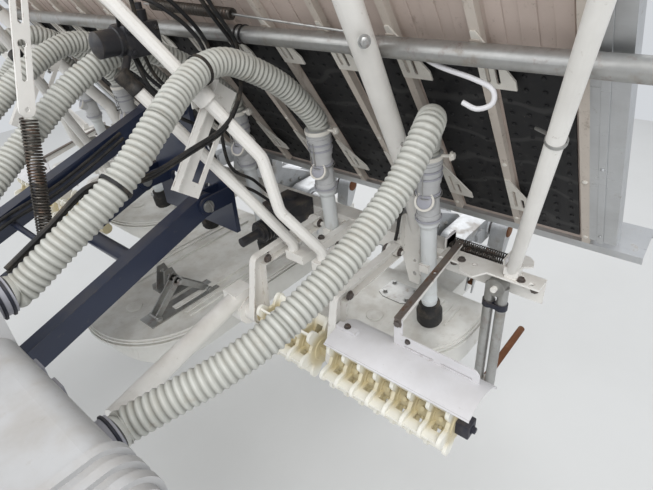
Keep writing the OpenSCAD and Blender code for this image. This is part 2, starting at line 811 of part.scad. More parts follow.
module planting_arms(y, s) {
    color(alloy) for (side = [-1, 1]) translate([drive_x + s * crank_r, y + side * row_pitch / 2, drive_z]) difference() {
        union() {
            side_plate(-arm_half, 2 * arm_half) strap(arm_case);
            for (c = claw_y) side_plate(c, claw_t) strap(claw);
        }
        cross_rod(0, 0, 0, 22 + 2 * fit, 2 * arm_half + 2);
    }
}

module arms_a_left() planting_arms(case_ys[0], 1);
module arms_a_centre() planting_arms(case_ys[1], 1);
module arms_a_right() planting_arms(case_ys[2], 1);
module arms_b_left() planting_arms(case_ys[0], -1);
module arms_b_centre() planting_arms(case_ys[1], -1);
module arms_b_right() planting_arms(case_ys[2], -1);

// Levelling rotors
arm_ys_rotor = [for (y = hanger_ys) y + hanger_t + 2];
arm_deep = 20;
rotor_out = arm_ys_rotor[0] + arm_deep + 6;
rotor_in = hanger_ys[0] - 24 - inner_cells * cell;
rotor_end = rotor_out + outer_cells * cell;
disc_t = 8;
lobe_d = 30;
hub_d = 50;
paddle_t = 5;
rim_h_rotor = 24;
post_w = 7;
journal_d = 36;
cap_l = 30;

module rotor_section(y0, cells) {
    for (i = [0 : cells]) translate([rotor_x, 0, rotor_z]) side_plate(y0 + i * cell - disc_t / 2, disc_t) {
        circle(r = rotor_d / 2 - lobe_d);
        for (b = [0 : blades - 1]) rotate(b * 360 / blades) {
            translate([0, -lobe_d / 2]) square([rotor_d / 2 - lobe_d / 2, lobe_d]);
            translate([rotor_d / 2 - lobe_d / 2, 0]) circle(d = lobe_d);
        }
    }
    for (i = [0 : cells - 1], b = [0 : blades - 1])
        translate([rotor_x, y0 + i * cell, rotor_z]) rotate([0, b * 360 / blades, 0]) {
            translate([rotor_d / 2 - 4 - rim_h_rotor, 0, -paddle_t / 2]) cube([rim_h_rotor, cell, paddle_t]);
            for (y = [0, cell - disc_t / 2 - post_w])
                translate([hub_d / 2 - 2, y, -paddle_t / 2]) cube([rotor_d / 2 - hub_d / 2 - 10, disc_t / 2 + post_w, paddle_t]);
        }
    cross_rod(rotor_x, y0 + cells * cell / 2, rotor_z, hub_d, cells * cell);
}

module rotor() {
    color(cream) {
        rotor_section(rotor_out, outer_cells);
        rotor_section(rotor_in, inner_cells);
    }
    color(black) {
        block([rotor_x - shaft_s / 2, arm_ys_rotor[1] - 4, rotor_z - shaft_s / 2],
            [rotor_x + shaft_s / 2, rotor_end + cap_l, rotor_z + shaft_s / 2]);
        for (y = arm_ys_rotor) cross_rod(rotor_x, y + arm_deep / 2, rotor_z, journal_d, arm_deep + 4);
        cross_rod(rotor_x, arm_ys_rotor[1] - 18, rotor_z, journal_d, 36);
    }
}

module rotor_left() rotor();
module rotor_right() mirror([0, 1, 0]) rotor();

guard_y = [arm_ys_rotor[0] + arm_deep + 0.3, rotor_end + 44];
guard_r = rotor_d / 2 + 18;
guard_turn = [58, 140];
guard_bend = 112;
flange_x = rotor_x + guard_r * cos(guard_bend);
flange_z = rotor_z + guard_r * sin(guard_bend);
flange_y = [guard_y[0] + 124, guard_y[1] - 22];
flange_h = 30;
tab_w = 20;
tab_h = 72;
bar_end = [beam_front + 6, flange_y[0] + 6, bracket_z[1] + bracket_t + 18];

function on_guard(a, r) = [rotor_x + r * cos(a), rotor_z + r * sin(a)];

module rotor_guard() {
    far = 2 * guard_r;
    color(white) {
        side_plate(guard_y[0], guard_y[1] - guard_y[0]) difference() {
            intersection() {
                translate([rotor_x, rotor_z]) circle(r = guard_r, $fn = 96);
                polygon([[rotor_x, rotor_z], for (a = [guard_turn[0] : (guard_turn[1] - guard_turn[0]) / 4 : guard_turn[1]])
                    on_guard(a, far)]);
            }
            translate([rotor_x, rotor_z]) circle(r = guard_r - sheet_t, $fn = 96);
        }
        translate([flange_x - sheet_t / 2, 0, 0]) rotate([90, 0, 90]) linear_extrude(sheet_t) difference() {
            union() {
                translate([flange_y[0], flange_z - 2]) square([flange_y[1] - flange_y[0] - 16, flange_h + 2]);
                translate([flange_y[0], flange_z - 2]) square([flange_y[1] - flange_y[0], flange_h - 14]);
                translate([flange_y[1] - 16, flange_z + flange_h - 16]) circle(r = 16);
                translate([flange_y[0], flange_z - 2]) square([tab_w, tab_h]);
            }
            for (y = [flange_y[0] + tab_w + 6, (flange_y[0] + flange_y[1] + tab_w) / 2 + 4])
                translate([y, flange_z + 3]) square([(flange_y[1] - flange_y[0] - tab_w) / 2 - 18, 4]);
            translate([flange_y[0] + tab_w / 2, flange_z + tab_h - 12]) circle(d = 9);
        }
        block([rotor_x - 10, guard_y[0] + 0.1, rotor_z + guard_r - 0.5], [rotor_x + 6, guard_y[0] + 52, rotor_z + guard_r + 8]);
    }
}

// Flat bar from the guard's tab back over the end bracket
module adjusting_bar() {
    tab = [flange_x - sheet_t / 2 - gap, flange_y[0] + tab_w / 2, flange_z + tab_h - 12];
    run = tab.x - bar_end.x;
    color(zinc) side_plate(tab.y - 2, 4) difference() {
        union() {
            polygon([[tab.x, tab.z + 9], [tab.x, tab.z - 9], [bar_end.x, bar_end.z - 5], [bar_end.x, bar_end.z + 9]]);
            translate([tab.x - 6, tab.z - 9]) square([6, 18]);
        }
        translate([bar_end.x + 12, bar_end.z + 2]) circle(d = 6);
        translate([tab.x - run / 2, (tab.z + bar_end.z) / 2 + 1]) circle(d = 6);
    }
}

module rotor_guard_left() rotor_guard();
module rotor_guard_right() mirror([0, 1, 0]) rotor_guard();

arm_line = [[hanger.x, hanger.z, 36], [rotor_x - 20, hanger.z - 6, 36], [rotor_x, rotor_z, 56]];
arm_sheet = 3;

module rotor_arms() {
    color(white) for (y = arm_ys_rotor) {
        side_plate(y, arm_sheet) difference() {
            strap(arm_line);
            arm_bores();
            for (x = [0.3, 0.55, 0.8]) translate([hanger.x + x * (arm_line[1][0] - hanger.x), arm_line[1][1] + 1]) circle(d = 10);
        }
        side_plate(y + arm_sheet, arm_deep - arm_sheet) difference() {
            strap(arm_line);
            difference() {
                strap([for (c = arm_line) [c[0], c[1], c[2] - 2 * arm_sheet]]);
                translate([hanger.x, hanger.z]) circle(d = hanger_pin_d + 12);
                translate([rotor_x, rotor_z]) circle(d = journal_d + 10);
            }
            arm_bores();
        }
    }
    adjusting_bar();
}

module arm_bores() {
    translate([hanger.x, hanger.z]) circle(d = hanger_pin_d + 2 * fit);
    translate([rotor_x, rotor_z]) circle(d = journal_d + 2 * fit);
}

module rotor_arms_left() rotor_arms();
module rotor_arms_right() mirror([0, 1, 0]) rotor_arms();

// Drive case of the rotor, with its long cover towards the vehicle
drive_y = [arm_ys_rotor[1] - 72, arm_ys_rotor[1] - 18];

module rotor_drive() {
    seat = arm_ys_rotor[1];
    color(white) difference() {
        union() {
            cross_rod(rotor_x, (drive_y[0] + drive_y[1]) / 2, rotor_z, 84, drive_y[1] - drive_y[0]);
            block([rotor_x - 14, drive_y[0] + 2, rotor_z + 20], [rotor_x + 44, drive_y[1] - 2, rotor_z + 66]);
            cross_rod(rotor_x, (drive_y[1] - 4 + seat - gap) / 2, rotor_z, journal_d + 18, seat - gap - drive_y[1] + 4);
            rod([rotor_x + 14, (drive_y[0] + drive_y[1]) / 2, rotor_z + 42], [-400, 440, -16], 46);
        }
        cross_rod(rotor_x, seat - 25, rotor_z, journal_d + 2 * fit, 50);
    }
}

// Floats
slot_x = -1285;
tongue_w = row_pitch - 2 * arm_half - 42;
tongue_h = 62;
float_rim = 8;

module float_outline(front, w, grow = 0) {
    r = w / 2 + grow;
    intersection() {
        union() {
            translate([front - w / 2, 0]) circle(r = r);
            translate([slot_x - grow, -r]) square([front - w / 2 - slot_x + grow, 2 * r]);
        }
        translate([slot_x - grow, -r]) square([front - slot_x + 2 * grow, 2 * r]);
    }
}

module float_body(front, length, w, y) {
    deck = sole_z + float_h;
    tail = front - length;
    difference() {
        union() {
            intersection() {
                translate([0, y, sole_z]) linear_extrude(float_h) float_outline(front, w);
                side_plate(y - w / 2 - 1, w + 2) difference() {
                    translate([tail, sole_z]) square([length, float_h]);
                    translate([front - 90, sole_z]) difference() {
                        square([100, 90]);
                        translate([0, 90]) circle(r = 90);
                        translate([0, 89]) square([100, 2]);
                    }
                }
            }
            translate([0, y, deck - 24]) linear_extrude(7) float_outline(front, w, float_rim);
            translate([0, y, deck - 12]) linear_extrude(5) float_outline(front, w, float_rim - 3);
            for (s = [-1, 1]) block([slot_x + 50, y + s * w / 4 - 9, deck - 1], [front - w / 2 + 30, y + s * w / 4 + 9, deck + 7]);
            block([slot_x, y - tongue_w / 2, sole_z], [tail + 60, y + tongue_w / 2, sole_z + tongue_h]);
            side_plate(y - tongue_w / 2, tongue_w)
                polygon([[tail + 60, sole_z], [tail + 60, sole_z + tongue_h], [tail, sole_z + tongue_h], [tail, sole_z + 26]]);
            for (s = [-1, 1]) side_plate(y + s * (float_hanger_t / 2 + 5) - 4, 8)
                strap([[float_pin.x, float_pin.z, 30], [float_pin.x, sole_z + tongue_h, 60]]);
        }
        cross_rod(float_pin.x, y, float_pin.z, float_pin_d + 2 * fit, 80);
    }
}

module float_centre() {
    color(white) float_body(-560, centre_float_len, centre_float_w, 0);
}

module side_float() {
    color(white) float_body(-945, side_float_len, side_float_w, case_pitch);
}

module float_left() side_float();
module float_right() mirror([0, 1, 0]) side_float();

// Stands: a pair of tubes that swing outwards about a pin along X
stand_mid = outer_row + stand_out;
stand_pivot = [beam_front + 28, stand_mid, beam_z];
stand_foot_z = sole_z + 12;
stand_pin_d = 14;
stand_head_d = 44;
stand_head_l = 30;

module stand() {
    color(zinc) difference() {
        union() {
            for (s = [-0.5, 0.5])
                rod(stand_pivot + [0, s * stand_gap, 0], [stand_pivot.x, stand_mid + s * stand_gap, stand_foot_z], stand_d);
            translate(stand_pivot - [stand_head_l / 2, 0, 0]) rotate([0, 90, 0])
                cylinder(h = stand_head_l, d = stand_head_d);
        }
        translate(stand_pivot - [stand_head_l, 0, 0]) rotate([0, 90, 0])
            cylinder(h = 2 * stand_head_l, d = stand_pin_d + 2 * fit);
    }
    color(rust) rod([stand_pivot.x + 40, stand_mid, stand_foot_z], [stand_pivot.x - 240, stand_mid, stand_foot_z], 18);
}

module stand_left() stand();
module stand_right() mirror([0, 1, 0]) stand();

// Each hose runs through these points between its spigot and its outlet; left side, outer row first, for hose_rows
hose_lead = 20;
hose_points = [
    [[-410, 730, 236], [-480, 765, 258], [-570, 795, 290], [-690, 815, 340],
        [-816, 822, 402], [-880, 826, 455], [-935, 820, 492], [-985, 795, 482], [-1025, 768, 443]],
    [[-414, 480, 394], [-527, 488, 456], [-641, 473, 530], [-700, 455, 560],
        [-764, 440, 582], [-824, 432, 584], [-880, 432, 562], [-958, 440, 512], [-1018, 448, 452]],
    [[-414, 160, 394], [-527, 126, 456], [-641, 122, 530], [-700, 124, 560],
        [-764, 128, 582], [-824, 134, 584], [-880, 138, 562], [-958, 144, 512], [-1018, 148, 452]]
];
hose_cuts = [4, 8];
hose_rows = [750, 450, 150];
hose_routes = [for (i = [0 : 2])
    let (s = spigots[i] - [spigot_l, 0, 0], e = outlet_top + unit_shift + [0, rows_left[i], 0],
        drift = unit_shift + [0, rows_left[i] - hose_rows[i], 0], n = len(hose_points[i]))
            concat([s, s - [hose_lead, 0, 0]], [for (k = [0 : n - 1]) hose_points[i][k] + k / (n - 1) * drift],
                [e - hose_lead * outlet_dir, e])];

module hoses(a, b) {
    color(hose_grey) for (r = hose_routes, left = [true, false])
        sweep(left ? r : [for (p = r) flip(p)], hose_d, 8, [a, b], cut = gap / 2);
}

module hoses_front() hoses(0, hose_cuts[0]);
module hoses_middle() hoses(hose_cuts[0], hose_cuts[1]);
module hoses_rear() hoses(hose_cuts[1], len(hose_routes[0]) - 1);

mount_bracket();
front_pivot_pins();
distributor_bracket();
distributor_housing();
hose_spigots();
lower_link();
upper_link();
hitch();
rear_pivot_pins();
on_unit() main_beam();
on_unit() end_brackets();
on_unit() planting_case_left();
on_unit() planting_case_centre();
on_unit() planting_case_right();
on_unit() drive_gearbox();
on_unit() uprights();
on_unit() side_pipes();
on_unit() tray_rail();
on_unit() tray_slides();
on_unit() gauge_plates();
on_unit() front_arms();
on_unit() bent_pipes();
on_unit() spring_link();
assist_spring();
on_unit() balance_springs();
on_unit() outlet_pipes();
on_unit() outlet_boots();
on_unit() tray_back();
on_unit() tray_belts();
on_unit() tray_ribs();
on_unit() tray_side_channels();
on_unit() rotary_left();
on_unit() rotary_centre();
on_unit() rotary_right();
on_unit() arms_a_left();
on_unit() arms_a_centre();
on_unit() arms_a_right();
on_unit() arms_b_left();
on_unit() arms_b_centre();
on_unit() arms_b_right();
on_unit() rotor_left();
on_unit() rotor_right();
on_unit() rotor_guard_left();
on_unit() rotor_guard_right();
on_unit() rotor_arms_left();
on_unit() rotor_arms_right();
on_unit() rotor_drive();
on_unit() float_centre();
on_unit() float_left();
on_unit() float_right();
on_unit() stand_left();
on_unit() stand_right();
hoses_front();
hoses_middle();
hoses_rear();
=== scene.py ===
"""Looks of the rear planting unit of a riding rice transplanter, built around its CAD frame."""

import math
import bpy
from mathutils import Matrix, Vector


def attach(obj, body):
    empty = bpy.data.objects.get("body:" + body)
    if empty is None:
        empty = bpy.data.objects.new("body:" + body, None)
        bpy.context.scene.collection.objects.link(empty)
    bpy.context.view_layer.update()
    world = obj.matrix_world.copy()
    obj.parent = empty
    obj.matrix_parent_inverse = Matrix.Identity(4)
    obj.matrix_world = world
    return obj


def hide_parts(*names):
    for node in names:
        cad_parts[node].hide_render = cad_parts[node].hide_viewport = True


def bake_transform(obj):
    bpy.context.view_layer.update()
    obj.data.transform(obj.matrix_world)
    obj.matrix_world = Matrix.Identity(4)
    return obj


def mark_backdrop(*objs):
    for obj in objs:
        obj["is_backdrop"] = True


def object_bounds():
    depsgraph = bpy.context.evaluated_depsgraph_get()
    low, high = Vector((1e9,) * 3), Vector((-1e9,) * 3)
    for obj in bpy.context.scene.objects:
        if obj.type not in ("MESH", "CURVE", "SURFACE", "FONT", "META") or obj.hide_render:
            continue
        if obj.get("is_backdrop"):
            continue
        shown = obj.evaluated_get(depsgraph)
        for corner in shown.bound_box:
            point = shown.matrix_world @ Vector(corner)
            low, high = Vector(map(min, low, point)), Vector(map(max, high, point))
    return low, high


bl_info = {
    "name": "Planting Unit",
    "version": (1, 0, 0),
    "blender": (4, 5, 0),
    "location": "3D View > Sidebar > Planting Unit",
    "description": "Hoses, rotors, tray, floats and finishes of a rear planting unit",
    "category": "Add Mesh",
}

import bmesh
import bpy
from bpy.props import FloatProperty, FloatVectorProperty, IntProperty, PointerProperty
from mathutils import Matrix, Vector

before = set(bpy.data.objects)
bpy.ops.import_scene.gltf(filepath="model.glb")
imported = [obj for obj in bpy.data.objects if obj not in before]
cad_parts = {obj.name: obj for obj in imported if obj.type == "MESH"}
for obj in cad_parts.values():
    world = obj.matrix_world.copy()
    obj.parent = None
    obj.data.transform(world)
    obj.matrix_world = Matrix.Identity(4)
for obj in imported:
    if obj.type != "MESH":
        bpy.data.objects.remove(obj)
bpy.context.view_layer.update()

MM = 0.001
IMAGE_W, FOCAL, SENSOR = 653, 500.0, 36.0
SHARP = math.radians(40)
BUMP_DEPTH = 0.0006
X_AXIS, Y_AXIS, Z_AXIS = Vector((1, 0, 0)), Vector((0, 1, 0)), Vector((0, 0, 1))


# Sizes and colours that a user would change

def colour(name, description, default):
    return FloatVectorProperty(name=name, description=description, subtype="COLOR", min=0, max=1,
                               default=default)


def size(name, description, default):
    return FloatProperty(name=name, description=description, unit="LENGTH", min=0.0001, max=1,
                         default=default)


class PlantingColours(bpy.types.PropertyGroup):
    white: colour("White paint", "Paint of tubes, brackets and guards", (0.80, 0.78, 0.74))
    blue: colour("Dark blue paint", "Paint of the links and the hitch", (0.016, 0.024, 0.055))
    hose: colour("Hose", "Corrugated hose", (0.47, 0.47, 0.43))
    duct: colour("Duct", "Moulded ducts and cuffs", (0.49, 0.49, 0.49))
    pale: colour("Outlet pipe", "Pale lower outlet pipe", (0.66, 0.68, 0.68))
    cream: colour("Rotor", "Moulded levelling rotor", (0.86, 0.84, 0.76))
    rose: colour("Tray", "Weathered tray moulding", (0.52, 0.43, 0.38))
    belt: colour("Belt", "Rubber feed belts", (0.012, 0.012, 0.013))
    zinc: colour("Zinc", "Galvanised steel", (0.42, 0.42, 0.41))
    alloy: colour("Alloy", "Drawn and cast aluminium", (0.55, 0.56, 0.57))
    rubber: colour("Rubber", "Boots, bellows and cables", (0.014, 0.014, 0.015))
    rust: colour("Rust", "Rusty bolts and rods", (0.19, 0.085, 0.045))
    mud: colour("Mud", "Dried mud and dust", (0.30, 0.24, 0.17))
    float_white: colour("Float", "Blown plastic floats", (0.70, 0.69, 0.65))


class PlantingSizes(bpy.types.PropertyGroup):
    hose_radius: size("Hose radius", "Outer radius of the corrugated hoses", 0.027)
    hose_pitch: size("Hose pitch", "Distance between two ridges of a hose", 0.0115)
    ridge: size("Hose ridge", "Height of a hose's ridges", 0.0036)
    cable_radius: size("Cable radius", "Radius of the black cables", 0.0042)
    hose_sides: IntProperty(name="Hose sides", description="Corners round a hose", min=8, max=48, default=24)


# Materials

class Socket:
    """A shader socket that adds a Math node for each operation on it."""

    def __init__(self, tree, socket):
        self.tree, self.socket = tree, socket

    def math(self, operation, *values):
        return node(self.tree, "ShaderNodeMath", {"operation": operation}, (self, *values))

    def __add__(self, other):
        return self.math("ADD", other)

    def __sub__(self, other):
        return self.math("SUBTRACT", other)

    def __rsub__(self, other):
        return node(self.tree, "ShaderNodeMath", {"operation": "SUBTRACT"}, (other, self))

    def __mul__(self, other):
        return self.math("MULTIPLY", other)

    def between(self, low, high):
        """0 below low, 1 above high and a smooth step between."""
        return node(self.tree, "ShaderNodeMapRange", {"interpolation_type": "SMOOTHSTEP", "clamp": True},
                    {"Value": self, "From Min": low, "From Max": high})


def node(tree, kind, settings=None, inputs=(), output=0):
    """A node of any type: its settings, then its sockets' values or links. Gives one output."""
    made = tree.nodes.new(kind)
    for key, value in (settings or {}).items():
        setattr(made, key, value)
    pairs = inputs.items() if isinstance(inputs, dict) else enumerate(inputs)
    for key, value in pairs:
        if isinstance(value, Socket):
            tree.links.new(value.socket, made.inputs[key])
        else:
            made.inputs[key].default_value = value
    return Socket(tree, made.outputs[output])


def scaled(shade, factor):
    return [factor * c for c in shade]


class Finish:
    """A material under construction: one Principled shader and the maps that feed it."""

    def __init__(self, name, base, roughness=0.5, metallic=0.0, coat=0.0, specular=0.5):
        self.material = bpy.data.materials.new(name)
        self.material.use_nodes = True
        self.tree = self.material.node_tree
        self.shader = self.tree.nodes["Principled BSDF"]
        self.shader.inputs["Specular IOR Level"].default_value = specular
        self.shader.inputs["Coat Weight"].default_value = coat
        self.shader.inputs["Metallic"].default_value = metallic
        self.place = node(self.tree, "ShaderNodeTexCoord", output="Object")
        self.colour = self.mix(0.0, base, base)
        self.rough = node(self.tree, "ShaderNodeValue") * 0.0 + roughness
        self.heights = []

    def noise(self, scale, detail=4.0, rough=0.6, stretch=(1, 1, 1)):
        place = node(self.tree, "ShaderNodeMapping", {}, {"Vector": self.place, "Scale": stretch})
        return node(self.tree, "ShaderNodeTexNoise", {},
                    {"Vector": place, "Scale": scale, "Detail": detail, "Roughness": rough})

    def vector(self, operation, *values, output="Vector"):
        return node(self.tree, "ShaderNodeVectorMath", {"operation": operation}, values, output)

    def up(self):
        """1 on faces that look up, 0 on those that look sideways or down."""
        normal = node(self.tree, "ShaderNodeTexCoord", output="Normal")
        return node(self.tree, "ShaderNodeSeparateXYZ", {}, (normal,), "Z").between(0.15, 0.95)

    def edge(self, width):
        """Near 1 on the part's edges, near 0 on its flats."""
        bevel = node(self.tree, "ShaderNodeBevel", {"samples": 4}, {"Radius": width})
        geometry = node(self.tree, "ShaderNodeNewGeometry", output="Normal")
        return (1 - self.vector("DOT_PRODUCT", bevel, geometry, output="Value")).between(0.01, 0.22)

    def mix(self, factor, first, second, blend="MIX"):
        inputs = {0: factor}
        for key, shade in ((6, first), (7, second)):
            inputs[key] = shade if isinstance(shade, Socket) else (*shade[:3], 1.0)
        return node(self.tree, "ShaderNodeMix", {"data_type": "RGBA", "blend_type": blend}, inputs, output=2)

    def tint(self, factor, shade, blend="MIX"):
        """Mixes a shade over the colour."""
        self.colour = self.mix(factor, self.colour, shade, blend)

    def paint(self, factor, shade, roughness):
        """Mixes a shade over the colour, and its roughness with it."""
        self.tint(factor, shade)
        self.rough = self.rough * (1 - factor) + factor * roughness

    def vary(self, amount, scale):
        """Soft lighter and darker patches."""
        shade = self.noise(scale, 5.0)
        self.tint(shade.between(0.35, 0.75) * amount, (0.55, 0.53, 0.50), "MULTIPLY")
        self.rough = self.rough + (shade - 0.5) * 0.25

    def grain(self, height, amount):
        self.heights.append(height * amount)

    def done(self, strength):
        self.tree.links.new(self.colour.socket, self.shader.inputs["Base Color"])
        clamped = self.rough.math("MINIMUM", 0.97).math("MAXIMUM", 0.06)
        self.tree.links.new(clamped.socket, self.shader.inputs["Roughness"])
        total = self.heights[0]
        for height in self.heights[1:]:
            total = total + height
        bump = node(self.tree, "ShaderNodeBump", {},
                    {"Strength": strength, "Distance": BUMP_DEPTH, "Height": total})
        self.tree.links.new(bump.socket, self.shader.inputs["Normal"])
        return self.material


def painted(name, base, rust, mud, wear=0.5, dirt=0.35, gloss=0.34):
    """Paint with dust on top, specks of mud, and chips and rust at edges."""
    f = Finish(name, base, roughness=gloss, coat=0.12)
    f.vary(0.30, 5.0)
    f.grain(f.noise(420.0, 2.0), 0.25)
    f.paint(f.noise(46.0, 6.0, 0.72).between(0.62, 0.70) * 0.35, mud, 0.8)
    f.paint(f.up() * f.noise(13.0, 5.0).between(0.30, 0.72) * dirt, mud, 0.85)
    chips = f.edge(0.003) * f.noise(60.0, 5.0).between(0.50, 0.62)
    f.paint(chips * wear, rust, 0.8)
    spots = f.noise(22.0, 7.0, 0.75).between(0.735, 0.78)
    f.paint(spots * wear, rust, 0.85)
    f.grain(spots + chips, -0.6)
    return f.done(0.35)


def moulded(name, base, mud, dirt=0.3, gloss=0.45):
    """Moulded plastic with a fine skin, scuffs and dust."""
    f = Finish(name, base, roughness=gloss)
    f.vary(0.28, 7.0)
    f.grain(f.noise(260.0, 3.0), 0.4)
    streak = f.noise(30.0, 5.0, 0.7, stretch=(1.0, 1.0, 0.2))
    f.paint(streak.between(0.58, 0.72) * dirt * 0.8, mud, 0.8)
    scuff = f.noise(75.0, 6.0, 0.8, stretch=(0.4, 1.0, 1.0)).between(0.60, 0.66)
    f.paint(scuff * dirt * 0.5, scaled(mud, 0.6), 0.75)
    f.paint(f.up() * f.noise(17.0).between(0.35, 0.7) * dirt, mud, 0.85)
    f.grain(scuff, -0.3)
    return f.done(0.30)


def metal(name, base, rust, mud, rusted=0.3, gloss=0.42, spangle=110.0):
    """Galvanised or cast metal with spangle, rust and dirt."""
    f = Finish(name, base, roughness=gloss, metallic=0.85)
    tone = node(f.tree, "ShaderNodeTexVoronoi", {"feature": "F1"}, {"Vector": f.place, "Scale": spangle})
    f.tint(tone.between(0.1, 0.9) * 0.25, scaled(base, 1.25))
    f.vary(0.45, 11.0)
    f.grain(tone, 0.3)
    f.grain(f.noise(330.0, 4.0), 0.35)
    bloom = f.noise(33.0, 6.0, 0.7).between(0.52, 0.70)
    f.paint(bloom * rusted, rust, 0.8)
    f.paint(f.noise(19.0, 6.0).between(0.55, 0.7) * 0.4, mud, 0.85)
    f.grain(bloom, -0.4)
    return f.done(0.4)


def rubbery(name, base, mud, dirt=0.35, gloss=0.55):
    """Black rubber and oily plastic, dull with dust."""
    f = Finish(name, base, roughness=gloss, specular=0.35)
    f.grain(f.noise(300.0, 4.0), 0.4)
    f.paint(f.noise(24.0, 6.0, 0.7).between(0.48, 0.74) * dirt * 0.55, mud, 0.85)
    f.paint(f.up() * f.noise(15.0).between(0.4, 0.75) * dirt * 0.6, mud, 0.9)
    return f.done(0.35)


def drawn(name, base, mud):
    """Drawn aluminium with fine lines along Y."""
    f = Finish(name, base, roughness=0.36, metallic=0.9)
    lines = f.noise(420.0, 3.0, 0.7, stretch=(1, 0.02, 1))
    f.grain(lines, 0.5)
    f.rough = f.rough + (lines - 0.5) * 0.35
    f.vary(0.35, 8.0)
    f.paint(f.noise(28.0, 6.0, 0.7).between(0.60, 0.72) * 0.5, mud, 0.85)
    return f.done(0.3)


def hose_finish(name, base, mud):
    """Corrugated hose: dirt settles between the ridges, which its ridge attribute marks."""
    f = Finish(name, base, roughness=0.42)
    ridge = node(f.tree, "ShaderNodeAttribute", {"attribute_name": "ridge"}, output="Fac")
    # Painted shade: the grooves between the ridges are darkened towards a dark grey.
    f.tint((1 - ridge).between(0.35, 0.95) * 0.62, (0.15, 0.15, 0.13))
    # Painted highlight: the crests of the ridges are lightened.
    f.tint(ridge.between(0.75, 1.0) * 0.35, (0.66, 0.66, 0.62))
    f.vary(0.25, 6.0)
    f.paint(f.noise(34.0, 6.0, 0.7).between(0.56, 0.72) * 0.35, mud, 0.8)
    f.paint(f.up() * f.noise(20.0).between(0.4, 0.7) * 0.22, mud, 0.85)
    f.grain(f.noise(300.0, 3.0), 0.3)
    return f.done(0.25)


def outlet_finish(name, base, pale, mud):
    """Outlets: grey cuffs, a paler pipe below them and a nearly clear tip."""
    f = Finish(name, base, roughness=0.40)
    height = node(f.tree, "ShaderNodeSeparateXYZ", {}, (f.place,), output="Z")
    f.tint(1 - height.between(0.214, 0.222), pale)
    f.tint(1 - height.between(-0.030, 0.050), (0.74, 0.78, 0.79))
    f.vary(0.25, 8.0)
    f.paint(f.noise(30.0, 5.0, 0.7, stretch=(1.0, 1.0, 0.2)).between(0.58, 0.72) * 0.25, mud, 0.8)
    f.grain(f.noise(260.0, 3.0), 0.4)
    return f.done(0.30)


def rotor_finish(name, base, pocket_shade, mud):
    """Rotor moulding: white on its rims, yellower and dirtier in its pockets."""
    f = Finish(name, base, roughness=0.38)
    flat = f.vector("MULTIPLY", f.vector("SUBTRACT", f.place, ROTOR), (1.0, 0.0, 1.0))
    radius = f.vector("LENGTH", flat, output="Value")
    # Painted shade: the pockets, near the rotor's axis, take a yellower, darker tint.
    f.tint(1 - radius.between(0.034, 0.064), pocket_shade)
    f.vary(0.20, 7.0)
    f.paint((1 - radius.between(0.020, 0.060)) * f.noise(40.0, 5.0).between(0.45, 0.70) * 0.5, mud, 0.8)
    f.paint(f.noise(75.0, 6.0, 0.8).between(0.62, 0.70) * 0.25, mud, 0.75)
    f.grain(f.noise(260.0, 3.0), 0.3)
    return f.done(0.25)


def belt_finish(name, base, mud):
    """Black feed belt, dull with dust and faint lines."""
    f = Finish(name, base, roughness=0.6, specular=0.3)
    f.grain(f.noise(240.0, 4.0), 0.5)
    f.paint(f.noise(14.0, 6.0, 0.75).between(0.50, 0.80) * 0.35, (0.09, 0.085, 0.08), 0.8)
    f.paint(f.noise(90.0, 4.0, 0.8).between(0.70, 0.74) * 0.6, mud, 0.9)
    lines = node(f.tree, "ShaderNodeTexWave", {"bands_direction": "X"},
                 {"Vector": f.place, "Scale": 6.0, "Distortion": 6.0, "Detail": 2.0})
    f.paint(lines.between(0.9, 1.0) * 0.15, (0.16, 0.155, 0.15), 0.7)
    return f.done(0.35)


def floor_finish():
    f = Finish("floor_pale", (0.62, 0.62, 0.61), roughness=0.7)
    f.vary(0.10, 1.2)
    f.grain(f.noise(60.0, 6.0), 0.4)
    return f.done(0.10)


MATERIALS = {}


